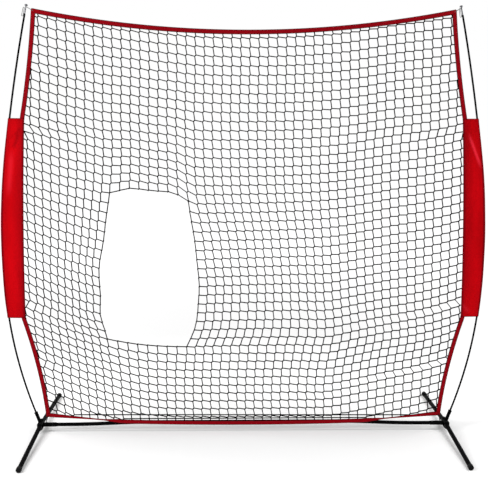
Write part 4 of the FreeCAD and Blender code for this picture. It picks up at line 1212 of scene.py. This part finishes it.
# Lamps: the place in metres, the point that the lamp faces, the width and the power in watts.
LAMPS = {
    "over_left": ((-2.6, -0.1, 3.4), (0, 0, 0), 1.8, 68),
    "over_right": ((2.6, -0.1, 3.4), (0, 0, 0), 1.8, 68),
    "front_left": ((-3.6, -2.2, 2.5), (0, 0, 0.7), 1.2, 80),
    "front_right": ((3.6, -2.2, 2.4), (0, 0, 0.7), 1.2, 32)}


def camera_mask(tree):
    """1 for the rays by which the camera sees something, 0 for those that light it."""
    path = add(tree, "LightPath")
    seen = math_node(tree, "MAXIMUM", path.outputs["Is Camera Ray"], path.outputs["Is Glossy Ray"])
    return math_node(tree, "MAXIMUM", seen, path.outputs["Is Transmission Ray"])


def make_world():
    world = bpy.data.worlds.new("soft_white")
    bpy.context.scene.world = world
    world.use_nodes = True
    tree = world.node_tree
    tree.nodes.clear()
    strength = map_range(tree, camera_mask(tree), 0.0, 1.0, SKY_LIGHT, SKY_SEEN)
    light = add(tree, "Background", {"Color": WHITE, "Strength": strength})
    add(tree, "OutputWorld", {"Surface": light.outputs["Background"]})


def make_floor():
    clear_selection()
    bpy.ops.mesh.primitive_plane_add(size=FLOOR_SIZE)
    floor = bpy.context.object
    floor.name = "floor"
    material, tree, shader = new_material("pale_floor")
    patches = place_group(tree, "Grain", {"Scale": 3.0, "Patch scale": 0.7})["Patches"]
    place = object_place(tree)
    reach = add(tree, "VectorMath", {"Vector": place}, operation="LENGTH").outputs["Value"]
    far = map_range(tree, reach, *FAR_GLOW)
    behind = map_range(tree, parts_of(tree, place)["Y"], *GLOW_BEHIND)
    glow = math_node(tree, "MULTIPLY", camera_mask(tree), math_node(tree, "MAXIMUM", far, behind))
    fill(tree, shader, {
        "Base Color": ramp(tree, patches, 0.3, 0.7, (0.89, 0.89, 0.89, 1), (0.91, 0.91, 0.91, 1)),
        "Roughness": 0.9, "Specular IOR Level": 0.0, "Emission Color": WHITE, "Emission Strength": glow})
    floor.data.materials.append(material)


def area_light(name, place, target, size, power):
    data = bpy.data.lights.new(name, "AREA")
    data.size = size
    data.energy = power
    lamp = new_object(name, data)
    lamp.location = place
    lamp.rotation_euler = (Vector(target) - Vector(place)).to_track_quat("-Z", "Y").to_euler()


make_world()
make_floor()
for name, lamp in LAMPS.items():
    area_light(name, *lamp)


# %% Camera
# Where the photograph was taken from, in metres, how far down, to the right and round the camera
# was turned, and its focal length in pixels of a picture of this width.
CAMERA_PLACE = (-0.0812, -4.5232, 1.79)
PITCH = math.radians(9.576)
YAW = math.radians(1.016)
ROLL = math.radians(-0.1)
FOCAL_PIXELS = 900
PICTURE_WIDTH = 488
SENSOR_WIDTH = 36
CLIP_END = 200


def make_camera():
    forward = Vector((math.sin(YAW) * math.cos(PITCH), math.cos(YAW) * math.cos(PITCH), -math.sin(PITCH)))
    level = Vector((math.cos(YAW), -math.sin(YAW), 0))
    down = forward.cross(level)
    right = level * math.cos(ROLL) + down * math.sin(ROLL)
    up = level * math.sin(ROLL) - down * math.cos(ROLL)
    data = bpy.data.cameras.new("camera")
    data.lens = FOCAL_PIXELS / PICTURE_WIDTH * SENSOR_WIDTH
    data.sensor_width = SENSOR_WIDTH
    data.sensor_fit = "HORIZONTAL"
    data.clip_end = CLIP_END
    camera = new_object("camera", data)
    columns = Matrix((right, up, -forward)).transposed()
    camera.matrix_world = Matrix.Translation(CAMERA_PLACE) @ columns.to_4x4()
    bpy.context.scene.camera = camera
    print("camera at", [round(v, 3) for v in camera.location])


make_camera()
bpy.context.scene.view_settings.view_transform = "Standard"
